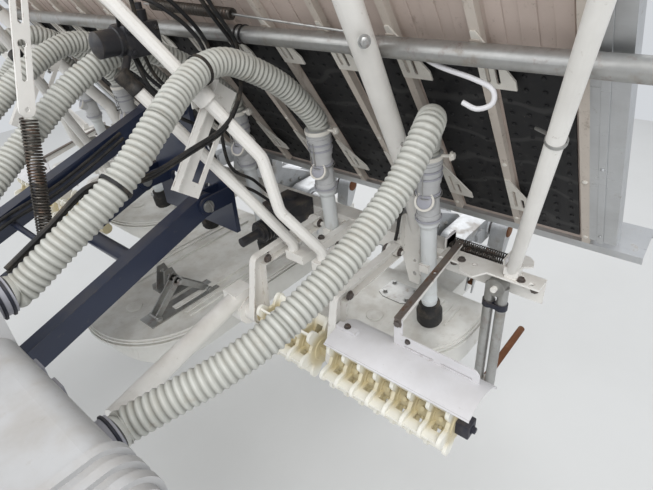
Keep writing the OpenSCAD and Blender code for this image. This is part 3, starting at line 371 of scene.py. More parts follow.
def make_materials(c):
    rust, mud = tuple(c.rust), tuple(c.mud)
    brown = (0.30, 0.25, 0.20)
    MATERIALS.update(
        white=painted("paint_white", c.white, rust, mud, wear=0.65, dirt=0.30),
        guard=painted("paint_guard", (0.73, 0.72, 0.735), rust, mud, wear=0.30, dirt=0.12, gloss=0.40),
        ink_blue=painted("paint_blue", c.blue, (0.10, 0.07, 0.05), (0.10, 0.09, 0.085), wear=0.7, dirt=0.55),
        duct_grey=moulded("duct_grey", c.duct, mud, dirt=0.25),
        cap_grey=moulded("cap_grey", (0.36, 0.36, 0.40), mud, dirt=0.2),
        pale=moulded("outlet_pale", c.pale, mud, dirt=0.25, gloss=0.38),
        hose_grey=hose_finish("hose_grey", c.hose, mud),
        outlet=outlet_finish("outlet_plastic", c.duct, c.pale, mud),
        # The rotor's third colour is the painted shade of its pockets.
        cream=rotor_finish("rotor_cream", c.cream, (0.62, 0.54, 0.34), (0.42, 0.34, 0.22)),
        rose=moulded("tray_rose", c.rose, (0.20, 0.15, 0.11), dirt=0.6, gloss=0.6),
        rib=moulded("tray_rib", (0.56, 0.50, 0.44), (0.17, 0.12, 0.08), dirt=0.8, gloss=0.6),
        seed=moulded("tray_seed", (0.60, 0.56, 0.52), mud, dirt=0.5, gloss=0.5),
        clip=moulded("clip_white", (0.72, 0.69, 0.63), mud, dirt=0.4),
        float_white=moulded("float_white", c.float_white, mud, dirt=0.30, gloss=0.42),
        zinc=metal("zinc_steel", c.zinc, rust, mud, rusted=0.35),
        spring=metal("spring_steel", (0.11, 0.10, 0.09), rust, mud, rusted=0.5),
        rust=metal("rusty_steel", rust, (0.30, 0.15, 0.08), mud, rusted=0.8, gloss=0.75),
        rust_zinc=metal("rusted_zinc", (0.22, 0.19, 0.17), rust, mud, rusted=0.75, gloss=0.6),
        bolt=metal("bolt_steel", (0.17, 0.15, 0.14), rust, mud, rusted=0.7, gloss=0.6),
        alloy=metal("cast_alloy", c.alloy, brown, mud, rusted=0.25, gloss=0.5, spangle=260.0),
        drawn=drawn("drawn_alloy", c.alloy, mud),
        black=rubbery("black_rubber", c.rubber, mud),
        cap_black=rubbery("cap_black", (0.020, 0.022, 0.034), mud, dirt=0.25, gloss=0.45),
        dark=rubbery("oily_dark", (0.030, 0.030, 0.034), mud, dirt=0.45, gloss=0.35),
        belt=belt_finish("feed_belt", c.belt, mud),
    )


# Finishes of the CAD nodes
SHADES = {
    "white": "rotor_drive main_beam end_brackets uprights side_pipes gauge_plates front_arms bent_pipes "
             "spring_link rotor_arms_left rotor_arms_right",
    "ink_blue": "mount_bracket distributor_bracket lower_link upper_link hitch",
    "duct_grey": "distributor_housing",
    "outlet": "outlet_pipes",
    "cap_grey": "hose_spigots",
    "alloy": "planting_case_left planting_case_centre planting_case_right rotary_left rotary_centre "
             "rotary_right arms_a_left arms_a_centre arms_a_right arms_b_left arms_b_centre arms_b_right",
    "drawn": "tray_rail tray_side_channels",
    "dark": "drive_gearbox",
    "zinc": "front_pivot_pins rear_pivot_pins tray_slides stand_left stand_right",
    "guard": "rotor_guard_left rotor_guard_right",
    "cream": "rotor_left rotor_right",
    "float_white": "float_left float_centre float_right",
    "rose": "tray_back",
    "rib": "tray_ribs",
    "belt": "tray_belts",
    "black": "outlet_boots",
}


# Mesh helpers

def add_object(name, mesh):
    """Links a mesh as an object at the origin, shaded smooth between sharp edges."""
    obj = bpy.data.objects.new(name, mesh)
    bpy.context.scene.collection.objects.link(obj)
    mesh.shade_smooth()
    mesh.set_sharp_from_angle(angle=SHARP)
    return obj


def finish_mesh(name, bm, material):
    """Turns a bmesh into an object, with its normals out."""
    bmesh.ops.remove_doubles(bm, verts=bm.verts, dist=0.00002)
    bmesh.ops.recalc_face_normals(bm, faces=bm.faces)
    mesh = bpy.data.meshes.new(name)
    bm.to_mesh(mesh)
    bm.free()
    mesh.materials.clear()
    mesh.materials.append(MATERIALS[material])
    return add_object(name, mesh)


def place(obj, body, slot_name, *nodes):
    """Rides a finished piece on its body, names its finish, and says which CAD nodes it stands for."""
    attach(obj, body)
    if nodes:
        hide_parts(*nodes)
    return obj


def piece(name, bm, material, body, slot_name):
    place(finish_mesh(name, bm, material), body, slot_name)


def mirror(p, side):
    return Vector((p[0], side * p[1], p[2]))


def basis(direction):
    """A rotation whose Z runs along direction."""
    z = direction.normalized()
    x = Z_AXIS.cross(z)
    if x.length < 1e-4:
        x = X_AXIS.cross(z)
    x.normalize()
    return Matrix((x, z.cross(x), z)).transposed()


def ring_points(centre, direction, radius, sides):
    turn = basis(direction)
    return [centre + turn @ Vector((radius * math.cos(a), radius * math.sin(a), 0))
            for a in (2 * math.pi * k / sides for k in range(sides))]


def add_loft(bm, rings, cap=True):
    """Joins rings of points, each with the same number of corners, into a skin, closed if capped."""
    loops = [[bm.verts.new(p) for p in ring] for ring in rings]
    for low, high in zip(loops, loops[1:]):
        count = len(low)
        for k in range(count):
            bm.faces.new((low[k], low[(k + 1) % count], high[(k + 1) % count], high[k]))
    if cap:
        bm.faces.new(list(reversed(loops[0])))
        bm.faces.new(loops[-1])
    return loops


def add_turned(bm, start, direction, profile, sides=24):
    """A turned shape: profile is a list of (distance along, radius)."""
    start, d = Vector(start), Vector(direction).normalized()
    add_loft(bm, [ring_points(start + d * along, d, radius, sides) for along, radius in profile])


def add_bar(bm, p, q, radius, sides=12, bevel=0.0):
    p, q = Vector(p), Vector(q)
    length = (q - p).length
    profile = [(0, radius), (length, radius)]
    if bevel:
        profile = [(0, radius - bevel), (bevel, radius), (length - bevel, radius), (length, radius - bevel)]
    add_turned(bm, p, q - p, profile, sides)


def merge_into(bm, part):
    mesh = bpy.data.meshes.new("part")
    part.to_mesh(mesh)
    part.free()
    bm.from_mesh(mesh)
    bpy.data.meshes.remove(mesh)


def add_box(bm, low, high, bevel=0.0, side=1):
    """A block between two corners, with its edges bevelled, on the left or the right side."""
    low, high = mirror(low, side), mirror(high, side)
    extent = Vector(abs(b - a) for a, b in zip(low, high))
    part = bmesh.new()
    bmesh.ops.create_cube(part, size=1.0)
    for v in part.verts:
        v.co = Vector(v.co[i] * extent[i] for i in range(3))
    if bevel:
        bmesh.ops.bevel(part, geom=part.edges[:], offset=bevel, segments=2, profile=0.6, affect="EDGES")
    for v in part.verts:
        v.co = (low + high) / 2 + v.co
    merge_into(bm, part)


def add_plate(bm, outline, thickness, to_place, holes=(), bevel=0.0):
    """A flat plate from its outline and holes, with its thickness along Z; to_place puts its points."""
    part = bmesh.new()
    edges = []
    for loop in [outline, *holes]:
        verts = [part.verts.new((x, y, 0)) for x, y in loop]
        edges += [part.edges.new((verts[i], verts[(i + 1) % len(verts)])) for i in range(len(verts))]
    bmesh.ops.triangle_fill(part, use_beauty=True, use_dissolve=False, edges=edges)
    raised = bmesh.ops.extrude_face_region(part, geom=part.faces[:])
    for v in [g for g in raised["geom"] if isinstance(g, bmesh.types.BMVert)]:
        v.co.z += thickness
    bmesh.ops.recalc_face_normals(part, faces=part.faces)
    if bevel:
        rims = [e for e in part.edges if e.is_manifold and e.calc_face_angle() > 1.0
                and abs(e.verts[0].co.z - e.verts[1].co.z) < 1e-7]
        bmesh.ops.bevel(part, geom=rims, offset=bevel, segments=1, affect="EDGES")
    for v in part.verts:
        v.co = to_place(v.co)
    merge_into(bm, part)


def rect(x0, x1, y, half):
    return [(x0, y - half), (x1, y - half), (x1, y + half), (x0, y + half)]


def circle(x, y, radius, count=16):
    steps = [2 * math.pi * k / count for k in range(count)]
    return [(x + radius * math.cos(a), y + radius * math.sin(a)) for a in steps]


def slot_outline(x0, x1, y, radius):
    """A long hole along x."""
    arc = [math.radians(90 + 30 * k) for k in range(7)]
    left = [(x0 + radius * math.cos(a), y + radius * math.sin(a)) for a in arc]
    return left + [(x1 - radius * math.cos(a), y - radius * math.sin(a)) for a in arc]


def side_view(y):
    """Places a plate drawn in X and Z at side y, growing towards +Y."""
    return lambda p: Vector((p.x, y + p.z, p.y))


def add_hex(bm, at, direction, radius, height, washer=True):
    """A bolt's head or a nut on a washer."""
    base = 0.0
    if washer:
        profile = [(0, radius * 1.42), (0.0012, radius * 1.46), (0.0018, radius * 1.40)]
        add_turned(bm, at, direction, profile, 18)
        base = 0.0018
    profile = [(base, radius * 1.13), (base + height * 0.85, radius * 1.13), (base + height, radius * 0.95)]
    add_turned(bm, at, direction, profile, 6)


def add_rivet(bm, at, direction, *profile):
    """The domed head of a rivet or a small screw."""
    add_turned(bm, at, direction, profile, 12)


def ring_band(bm, centre, direction, radius, thick, width):
    """A flat band round an axis, such as a cable tie."""
    sides = 28
    centre, d = Vector(centre), Vector(direction).normalized()
    low, high = centre - d * width / 2, centre + d * width / 2
    corners = ((low, radius), (low, radius + thick), (high, radius + thick), (high, radius))
    loops = add_loft(bm, [ring_points(c, d, r, sides) for c, r in corners], cap=False)
    first, last = loops[0], loops[-1]
    for k in range(sides):
        bm.faces.new((last[k], last[(k + 1) % sides], first[(k + 1) % sides], first[k]))


def smooth_path(points, step, span):
    """A smooth curve through the points, from one of them to another, as points a set distance apart."""
    pts = [Vector(p) for p in points]
    dense = []
    for i in range(*span):
        before = pts[i - 1] if i else pts[i] * 2 - pts[i + 1]
        after = pts[i + 2] if i + 2 < len(pts) else pts[i + 1] * 2 - pts[i]
        for k in range(24):
            t = k / 24
            dense.append(0.5 * ((2 * pts[i]) + (pts[i + 1] - before) * t
                                + (2 * before - 5 * pts[i] + 4 * pts[i + 1] - after) * t * t
                                + (3 * pts[i] - 3 * pts[i + 1] + after - before) * t * t * t))
    dense.append(pts[span[1]])
    lengths = [0.0]
    for a, b in zip(dense, dense[1:]):
        lengths.append(lengths[-1] + (b - a).length)
    count = max(2, round(lengths[-1] / step))
    out, j = [], 0
    for k in range(count + 1):
        goal = lengths[-1] * k / count
        while j < len(lengths) - 2 and lengths[j + 1] < goal:
            j += 1
        gap = max(lengths[j + 1] - lengths[j], 1e-9)
        out.append(dense[j].lerp(dense[j + 1], min(1.0, (goal - lengths[j]) / gap)))
    return out


def path_curve(points, start, stop):
    """A curve object along the smooth path."""
    points = smooth_path(points, 0.0015, (start, stop))
    curve = bpy.data.curves.new("path", "CURVE")
    curve.dimensions = "3D"
    spline = curve.splines.new("POLY")
    spline.points.add(len(points) - 1)
    for target, p in zip(spline.points, points):
        target.co = (*p, 1.0)
    obj = bpy.data.objects.new("path", curve)
    bpy.context.scene.collection.objects.link(obj)
    return obj


# Geometry Nodes trees

def new_tree(name, sizes):
    tree = bpy.data.node_groups.new(name, "GeometryNodeTree")
    tree.interface.new_socket("Geometry", in_out="INPUT", socket_type="NodeSocketGeometry")
    tree.interface.new_socket("Geometry", in_out="OUTPUT", socket_type="NodeSocketGeometry")
    tree.interface.new_socket("Material", in_out="INPUT", socket_type="NodeSocketMaterial")
    for label, kind in sizes.items():
        tree.interface.new_socket(label, in_out="INPUT", socket_type="NodeSocket" + kind)
    source = tree.nodes.new("NodeGroupInput")
    return tree, lambda label: Socket(tree, source.outputs[label])


def end_tree(tree, get, geometry):
    real = node(tree, "GeometryNodeRealizeInstances", {}, (geometry,))
    dressed = node(tree, "GeometryNodeSetMaterial", {}, {"Geometry": real, "Material": get("Material")})
    tree.links.new(dressed.socket, tree.nodes.new("NodeGroupOutput").inputs["Geometry"])
    return tree


def apply_tree(obj, tree, values, name):
    """Runs a tree on an object and gives its result as a plain mesh object."""
    modifier = obj.modifiers.new("build", "NODES")
    modifier.node_group = tree
    inputs = {s.name: s.identifier for s in tree.interface.items_tree if s.in_out == "INPUT"}
    for label, value in values.items():
        modifier[inputs[label]] = value
    bpy.context.view_layer.update()
    evaluated = obj.evaluated_get(bpy.context.evaluated_depsgraph_get())
    mesh = bpy.data.meshes.new_from_object(evaluated)
    bpy.data.objects.remove(obj, do_unlink=True)
    mesh.name = name
    return add_object(name, mesh)


def hose_tree():
    """Corrugated hose along a curve: the radius swells at each ridge."""
    sizes = {"Radius": "Float", "Ridge": "Float", "Pitch": "Float", "Sides": "Int"}
    tree, get = new_tree("corrugated_hose", sizes)
    step = get("Pitch") * 0.1667
    curve = node(tree, "GeometryNodeResampleCurve", {"mode": "LENGTH"},
                 {"Curve": get("Geometry"), "Length": step})
    along = node(tree, "GeometryNodeSplineParameter", output="Length")
    phase = along.math("DIVIDE", get("Pitch")) * (2 * math.pi)
    crest = (phase.math("COSINE") * 0.5 + 0.5).math("POWER", 0.6)
    radius = get("Radius") - get("Ridge") * (1 - crest)
    stored = node(tree, "GeometryNodeStoreNamedAttribute", {"data_type": "FLOAT", "domain": "POINT"},
                  {"Geometry": curve, "Name": "ridge", "Value": crest})
    thick = node(tree, "GeometryNodeSetCurveRadius", {}, {"Curve": stored, "Radius": radius})
    ring = node(tree, "GeometryNodeCurvePrimitiveCircle", {}, {"Resolution": get("Sides"), "Radius": 1.0})
    skin = node(tree, "GeometryNodeCurveToMesh", {},
                {"Curve": thick, "Profile Curve": ring, "Fill Caps": True,
                 "Scale": node(tree, "GeometryNodeInputRadius")})
    return end_tree(tree, get, skin)


def coil_tree():
    """A coil spring along Z from the origin."""
    sizes = {"Height": "Float", "Coil": "Float", "Wire": "Float", "Turns": "Float"}
    tree, get = new_tree("coil_spring", sizes)
    spiral = node(tree, "GeometryNodeCurveSpiral", {},
                  {"Resolution": 16, "Rotations": get("Turns"), "Start Radius": get("Coil"),
                   "End Radius": get("Coil"), "Height": get("Height")})
    ring = node(tree, "GeometryNodeCurvePrimitiveCircle", {}, {"Resolution": 6, "Radius": get("Wire")})
    wire = node(tree, "GeometryNodeCurveToMesh", {},
                {"Curve": spiral, "Profile Curve": ring, "Fill Caps": True})
    return end_tree(tree, get, wire)


def grid_tree():
    """Copies of the object's own mesh at a grid of points."""
    sizes = {"Columns": "Int", "Rows": "Int", "Across": "Vector", "Along": "Vector"}
    tree, get = new_tree("repeat_on_grid", sizes)
    line = node(tree, "GeometryNodeMeshLine", {"mode": "OFFSET"},
                {"Count": get("Columns") * get("Rows"), "Offset": (0.0, 0.0, 0.0)})
    index = node(tree, "GeometryNodeInputIndex")
    column = index.math("MODULO", get("Columns"))
    row = index.math("DIVIDE", get("Columns")).math("FLOOR")
    across, along = [node(tree, "ShaderNodeVectorMath", {"operation": "SCALE"},
                          {"Vector": get(label), "Scale": count})
                     for label, count in (("Across", column), ("Along", row))]
    offset = node(tree, "ShaderNodeVectorMath", {"operation": "ADD"}, (across, along))
    points = node(tree, "GeometryNodeSetPosition", {}, {"Geometry": line, "Offset": offset})
    copies = node(tree, "GeometryNodeInstanceOnPoints", {}, {"Points": points, "Instance": get("Geometry")})
    return end_tree(tree, get, copies)


TREES = {}


def tree_of(kind):
    if not TREES:
        TREES.update(hose=hose_tree(), coil=coil_tree(), grid=grid_tree())
    return TREES[kind]


def spring_between(name, p, q, coil, wire, turns):
    """A coil spring between two points."""
    p, q = Vector(p), Vector(q)
    holder = add_object(name + "_seed", bpy.data.meshes.new(name + "_seed"))
    values = {"Material": MATERIALS["spring"], "Height": (q - p).length, "Coil": coil, "Wire": wire,
              "Turns": turns}
    obj = apply_tree(holder, tree_of("coil"), values, name)
    turn = basis(q - p)
    for v in obj.data.vertices:
        v.co = p + turn @ v.co
    return obj


def tube(points, radius, material, start=0, stop=None, sides=10, ridge=0.0, pitch=0.036):
    """A smooth tube through points, with ridges if they have a height."""
    curve = path_curve(points, start, len(points) - 1 if stop is None else stop)
    values = {"Material": MATERIALS[material], "Radius": radius, "Ridge": ridge, "Pitch": pitch,
              "Sides": sides}
    return apply_tree(curve, tree_of("hose"), values, "tube")


def repeat(seed, columns, rows, across, along, offset):
    """A grid of copies of a belt's knob or cleat."""
    copy = add_object("copy", seed.data.copy())
    values = {"Material": MATERIALS["belt"], "Columns": columns, "Rows": rows, "Across": across,
              "Along": along}
    made = apply_tree(copy, tree_of("grid"), values, "grid")
    for v in made.data.vertices:
        v.co += offset
    return made


def join(objects, name):
    """One mesh object of several."""
    bm = bmesh.new()
    for obj in objects:
        bm.from_mesh(obj.data)
    mesh = bpy.data.meshes.new(name)
    bm.to_mesh(mesh)
    bm.free()
    mesh.materials.append(objects[0].data.materials[0])
    for obj in objects:
        bpy.data.objects.remove(obj, do_unlink=True)
    return add_object(name, mesh)


# Where things are: the CAD's own sizes, in metres

ROWS = (0.75, 0.45, 0.15, -0.15, -0.45, -0.75)
SIDES = {1: "left", -1: "right"}
PLANTERS = (("left", 0.6), ("centre", 0.0), ("right", -0.6))
OUTLET_TOP, OUTLET_LOW = Vector((-1.058, 0, 0.385)), Vector((-1.100, 0, -0.030))
OUTLET_DIR = (OUTLET_LOW - OUTLET_TOP).normalized()
BRANCH_AT = 0.120
TRAY_FOOT, TRAY_SLOPE, TRAY_Y = Vector((-1.266, 0, 0.170)), math.radians(56), 0.14
TRAY_UP = Vector((math.cos(TRAY_SLOPE), 0, math.sin(TRAY_SLOPE)))
TRAY_OUT = Vector((math.sin(TRAY_SLOPE), 0, -math.cos(TRAY_SLOPE)))
TRAY_T = 0.016
RIB_PITCH, RIBS, RIB_TOP, BAY_PITCH = 0.150, 13, 0.0142, 0.298
KNOB_PITCH, CLEAT_PITCH = 0.030, 0.0205
# A presser wire of the tray's seed side, up the tray and away from it
PRESSER = ((0.105, -0.088), (0.150, -0.066), (0.400, -0.058), (0.430, -0.066))
ROTOR, GUARD_R = Vector((-0.826, 0, -0.046)), 0.093
CELL, CELL_GROUPS = 0.041, ((0.684, 7), (0.460, 4))
BAR_Y = 0.812
BEAM_FRONT = -1.130
DECK = -0.128
ROTARY_X, ROTARY_Z, CRANK = -1.45, -0.025, 0.080
SPIGOTS = ((0.70, 0.218), (0.47, 0.356), (0.19, 0.356))
# From each spigot to its outlet, outer hose first, in mm
HOSE_POINTS = (
    ((-410, 730, 236), (-480, 765, 258), (-570, 795, 290), (-690, 815, 340), (-816, 822, 402),
     (-880, 826, 455), (-935, 820, 492), (-985, 795, 482), (-1025, 768, 443)),
    ((-414, 480, 394), (-527, 488, 456), (-641, 473, 530), (-700, 455, 560), (-764, 440, 582),
     (-824, 432, 584), (-880, 432, 562), (-958, 440, 512), (-1018, 448, 452)),
    ((-414, 160, 394), (-527, 126, 456), (-641, 122, 530), (-700, 124, 560), (-764, 128, 582),
     (-824, 134, 584), (-880, 138, 562), (-958, 144, 512), (-1018, 148, 452)),
)
# Each piece of a hose: its first and last point, the bodies it joins and where it bends between them
HOSE_PARTS = (
    ("front", 0, 4, "vehicle_bracket", "upper_link", (-0.34, 0, 0.3), (-0.565, 0, 0.3)),
    ("middle", 4, 8, "upper_link", "hitch", (-0.645, 0, 0.5), (-0.875, 0, 0.5)),
    ("rear", 8, 12, "hitch", "planting_frame", (-0.94, 0, 0.5), (-1.05, 0, 0.5)),
)
STRAPPED = ((-0.345, 0.446, 0.382), (-0.414, 0.456, 0.420), (-0.490, 0.456, 0.458), (-0.535, 0.4535, 0.452),
            (-0.572, 0.452, 0.442), (-0.616, 0.450, 0.4365), (-0.693, 0.462, 0.4566), (-0.777, 0.459, 0.4722),
            (-0.830, 0.447, 0.5032), (-0.870, 0.420, 0.5280), (-0.906, 0.380, 0.5583))
LOOMS = (
    ((-0.745, 0.225, 0.645), (-0.735, 0.270, 0.700), (-0.775, 0.320, 0.690), (-0.850, 0.335, 0.610),
     (-0.865, 0.330, 0.500), (-0.840, 0.325, 0.420), (-0.860, 0.300, 0.300), (-0.960, 0.295, 0.220),
     (-1.030, 0.300, 0.145)),
    ((-0.775, 0.245, 0.655), (-0.760, 0.280, 0.735), (-0.800, 0.320, 0.700), (-0.875, 0.325, 0.600),
     (-0.885, 0.310, 0.480), (-0.880, 0.320, 0.330), (-0.990, 0.270, 0.230), (-1.060, 0.270, 0.140)),
    ((-0.904, 0.382, 0.5560), (-0.901, 0.375, 0.600), (-0.857, 0.374, 0.666), (-0.801, 0.380, 0.749),
     (-0.734, 0.384, 0.848)),
    ((-0.904, 0.376, 0.5480), (-0.901, 0.387, 0.600), (-0.857, 0.394, 0.666), (-0.801, 0.402, 0.749),
     (-0.734, 0.400, 0.848)),
    ((-1.118, 0.669, 0.250), (-1.096, 0.662, 0.197), (-1.092, 0.657, 0.152), (-1.094, 0.648, 0.110),
     (-1.110, 0.638, 0.090), (-1.127, 0.632, 0.085)),
    ((-0.775, 0.205, 0.590), (-0.790, 0.212, 0.540), (-0.840, 0.222, 0.485), (-0.900, 0.205, 0.452),
     (-0.960, 0.150, 0.432)),
    ((-0.760, 0.225, 0.592), (-0.770, 0.240, 0.530), (-0.815, 0.245, 0.455), (-0.880, 0.235, 0.400),
     (-0.930, 0.200, 0.300)),
    ((-0.800, 0.195, 0.590), (-0.822, 0.190, 0.530), (-0.872, 0.200, 0.470), (-0.940, 0.170, 0.445)),
)
LINK_CABLE = ((-0.14, 0.0), (-0.30, -0.012), (-0.45, 0.004), (-0.60, -0.010), (-0.78, 0.0))


def hose_route(index, side):
    y, z = SPIGOTS[index]
    end = OUTLET_TOP + Vector((0, ROWS[index], 0))
    points = [Vector((-0.330, y, z)), Vector((-0.350, y, z))]
    points += [Vector(p) * MM for p in HOSE_POINTS[index]]
    points += [end - 0.020 * OUTLET_DIR, end]
    return [mirror(p, side) for p in points]


def on_tray(u, w, y):
    return TRAY_FOOT + u * TRAY_UP + w * TRAY_OUT + Vector((0, y, 0))


def tray_plane(y, w):
    """Places a plate drawn up the tray (x) and along Y (y) on the tray's front, growing outwards."""
    return lambda p: on_tray(p.x, w + p.z, y + p.y)


def seed_plane(y):
    """Places a plate on the tray's seed side, growing towards the seedlings."""
    return lambda p: on_tray(p.x, -TRAY_T - p.z, y - p.y)


# Pieces

def make_hoses(s):
    """Six corrugated hoses, each cut in three where the lift linkage bends."""
    for part, start, stop, first, second, begin, end in HOSE_PARTS:
        pieces = [tube(hose_route(index, side), s.hose_radius, "hose_grey", start, stop, s.hose_sides,
                       s.ridge, s.hose_pitch) for index in range(3) for side in SIDES]
        hose = join(pieces, "corrugated_hoses_" + part)
        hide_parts("hoses_" + part)
        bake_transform(hose)


def make_cables(s):
    """Cables strapped to a hose and along the links, looms, an actuator and the pipes' boots."""
    for (part, *_, first, second, begin, end), start, stop in zip(HOSE_PARTS, (0, 4), (4, 10)):
        pieces = [tube([Vector(p) + Vector(shift) for p in STRAPPED], s.cable_radius * scale, "black",
                       start, stop, 8) for shift, scale in (((0, 0, 0), 1.0), ((0, -0.003, -0.0085), 0.75))]
        cable = join(pieces, "cables_" + part)
        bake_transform(cable)
    points = hose_route(1, 1)
    for (part, *_, first, second, begin, end), at in zip(HOSE_PARTS, (3, 6)):
        bm = bmesh.new()
        ring_band(bm, points[at], points[at + 1] - points[at - 1], 0.0266, 0.0024, 0.0060)
        tie = finish_mesh("hose_tie_" + part, bm, "black")
        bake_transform(tie)
    pieces = [tube(points, s.cable_radius, "black") for points in LOOMS]
    bm = bmesh.new()
    for x, z in ((-0.923, 0.614), (-0.7555, 0.863)):
        for y in (0.377, 0.393):
            ring_band(bm, (x, y, z), Y_AXIS, 0.0172, 0.0022, 0.0045)
    pieces.append(finish_mesh("pipe_ties", bm, "black"))
    place(join(pieces, "frame_looms"), "planting_frame", "black")
    pieces = [tube([Vector((x, y, 0.146 + z + (-0.09 - x) * 0.3172 + sag)) for x, sag in LINK_CABLE],
                   s.cable_radius, "black") for y, z in ((0.030, 0.020), (0.039, 0.008), (-0.031, 0.014))]
    place(join(pieces, "link_cables"), "upper_link", "black")
    bm = bmesh.new()
    add_box(bm, (-0.822, 0.190, 0.588), (-0.742, 0.248, 0.652), 0.006)
    motor = [(0, 0.029), (0.010, 0.029), (0.012, 0.026), (0.050, 0.026), (0.054, 0.020), (0.058, 0.008)]
    add_turned(bm, (-0.742, 0.219, 0.622), X_AXIS, motor, 32)
    plug = [(0, 0.014), (0.020, 0.014), (0.022, 0.009), (0.034, 0.009)]
    add_turned(bm, (-0.800, 0.219, 0.652), Z_AXIS, plug)
    for x in (-0.812, -0.752):
        for z in (0.600, 0.640):
            add_hex(bm, (x, 0.248, z), Y_AXIS, 0.0045, 0.004)
    add_bar(bm, (-0.740, 0.235, 0.590), (-0.712, 0.259, 0.566), 0.008)
    piece("actuator", bm, "dark", "planting_frame", "dark")
    bm = bmesh.new()
    profile = [(-0.034, 0.0150), (-0.032, 0.0168), (-0.022, 0.0168), (-0.020, 0.0158), (-0.008, 0.0158),
               (-0.006, 0.0174), (0.012, 0.0174), (0.016, 0.0120)]
    for side in SIDES:
        add_turned(bm, mirror((-0.710, 0.262, 0.560), side), mirror((0.050, -0.043, 0.096), side), profile)
    piece("pipe_boots", bm, "black", "planting_frame", "black")


def make_springs(s):
    """The coil springs on the beam and between the lift links."""
    for side, tag in SIDES.items():
        for k, x in enumerate((-1.1657, -1.1443)):
            ends = [(x, side * y, 0.1272) for y in (0.7722, 0.9098)]
            spring = spring_between("balance_coil_%s_%d" % (tag, k), *ends, 0.0080, 0.0015, 26)
            nodes = ["balance_springs"] if side > 0 and k == 0 else []
            place(spring, "planting_frame", "zinc", *nodes)
    p, q = Vector((-0.4786, 0.1975, 0.2715)), Vector((-0.5395, 0.1766, 0.5145))
    spring = spring_between("assist_coil", p, q, 0.0145, 0.0021, 42)
    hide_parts("assist_spring")
    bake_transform(spring)


def make_tray(s):
    """Knobs on the feed belts, slotted clips and rivets on the ribs, pads and side strips of the tray."""
    knob = bmesh.new()
    add_turned(knob, (0, 0, 0), TRAY_OUT, [(0, 0.0042), (0.0016, 0.0036), (0.0022, 0.0022)], 8)
    seed = finish_mesh("belt_knob", knob, "belt")
    bays = [TRAY_Y + (i - 5.5) * RIB_PITCH for i in range(RIBS - 1)]
    rows = [repeat(seed, 4, 17, Y_AXIS * KNOB_PITCH, TRAY_UP * KNOB_PITCH,
                   on_tray(0.040, 0.0045, y - 1.5 * KNOB_PITCH)) for y in bays]
    bpy.data.objects.remove(seed, do_unlink=True)
    place(join(rows, "belt_knobs"), "tray", "black")
    bm = bmesh.new()
    for i in range(RIBS):
        y = TRAY_Y + (i - 6) * RIB_PITCH
        for u in (0.085, 0.470) if i < RIBS - 1 else ():
            outline = [(u, -0.006), (u + 0.115, -0.006), (u + 0.115, 0.002), (u + 0.020, 0.052), (u, 0.052)]
            holes = [slot_outline(u + a, u + b, c, 0.0034) for a, b, c in ((0.016, 0.072, 0.008),
                                                                          (0.014, 0.044, 0.024))]
            add_plate(bm, outline, 0.003, tray_plane(y, RIB_TOP), holes)
        for u in (0.040, 0.250, 0.650, 0.760, 0.930):
            add_rivet(bm, on_tray(u, 0.0135, y), TRAY_OUT, (0, 0.0052), (0.0022, 0.0046), (0.0030, 0.0025))
    piece("rib_clips", bm, "clip", "tray", "rose")
    bm = bmesh.new()
    for y in bays:
        for u0, u1 in ((0.548, 0.700), (0.722, 0.848), (0.872, 0.985)):
            for dy in (-0.048, 0.0, 0.048):
                add_plate(bm, rect(u0, u1, dy, 0.013), 0.0022, tray_plane(y, -0.0004), bevel=0.0008)
    piece("tray_pads", bm, "rose", "tray", "rose")
    bm = bmesh.new()
    for side in SIDES:
        y = TRAY_Y + side * 0.929
        add_plate(bm, rect(0.03, 1.0, 0, 0.0065), 0.0018, tray_plane(y, RIB_TOP), bevel=0.0006)
        for u in (0.06, 0.30, 0.55, 0.80, 0.98):
            add_rivet(bm, on_tray(u, 0.0155, y), TRAY_OUT, (0, 0.0040), (0.0018, 0.0036), (0.0026, 0.0018))
    piece("side_strips", bm, "drawn", "tray", "alloy")


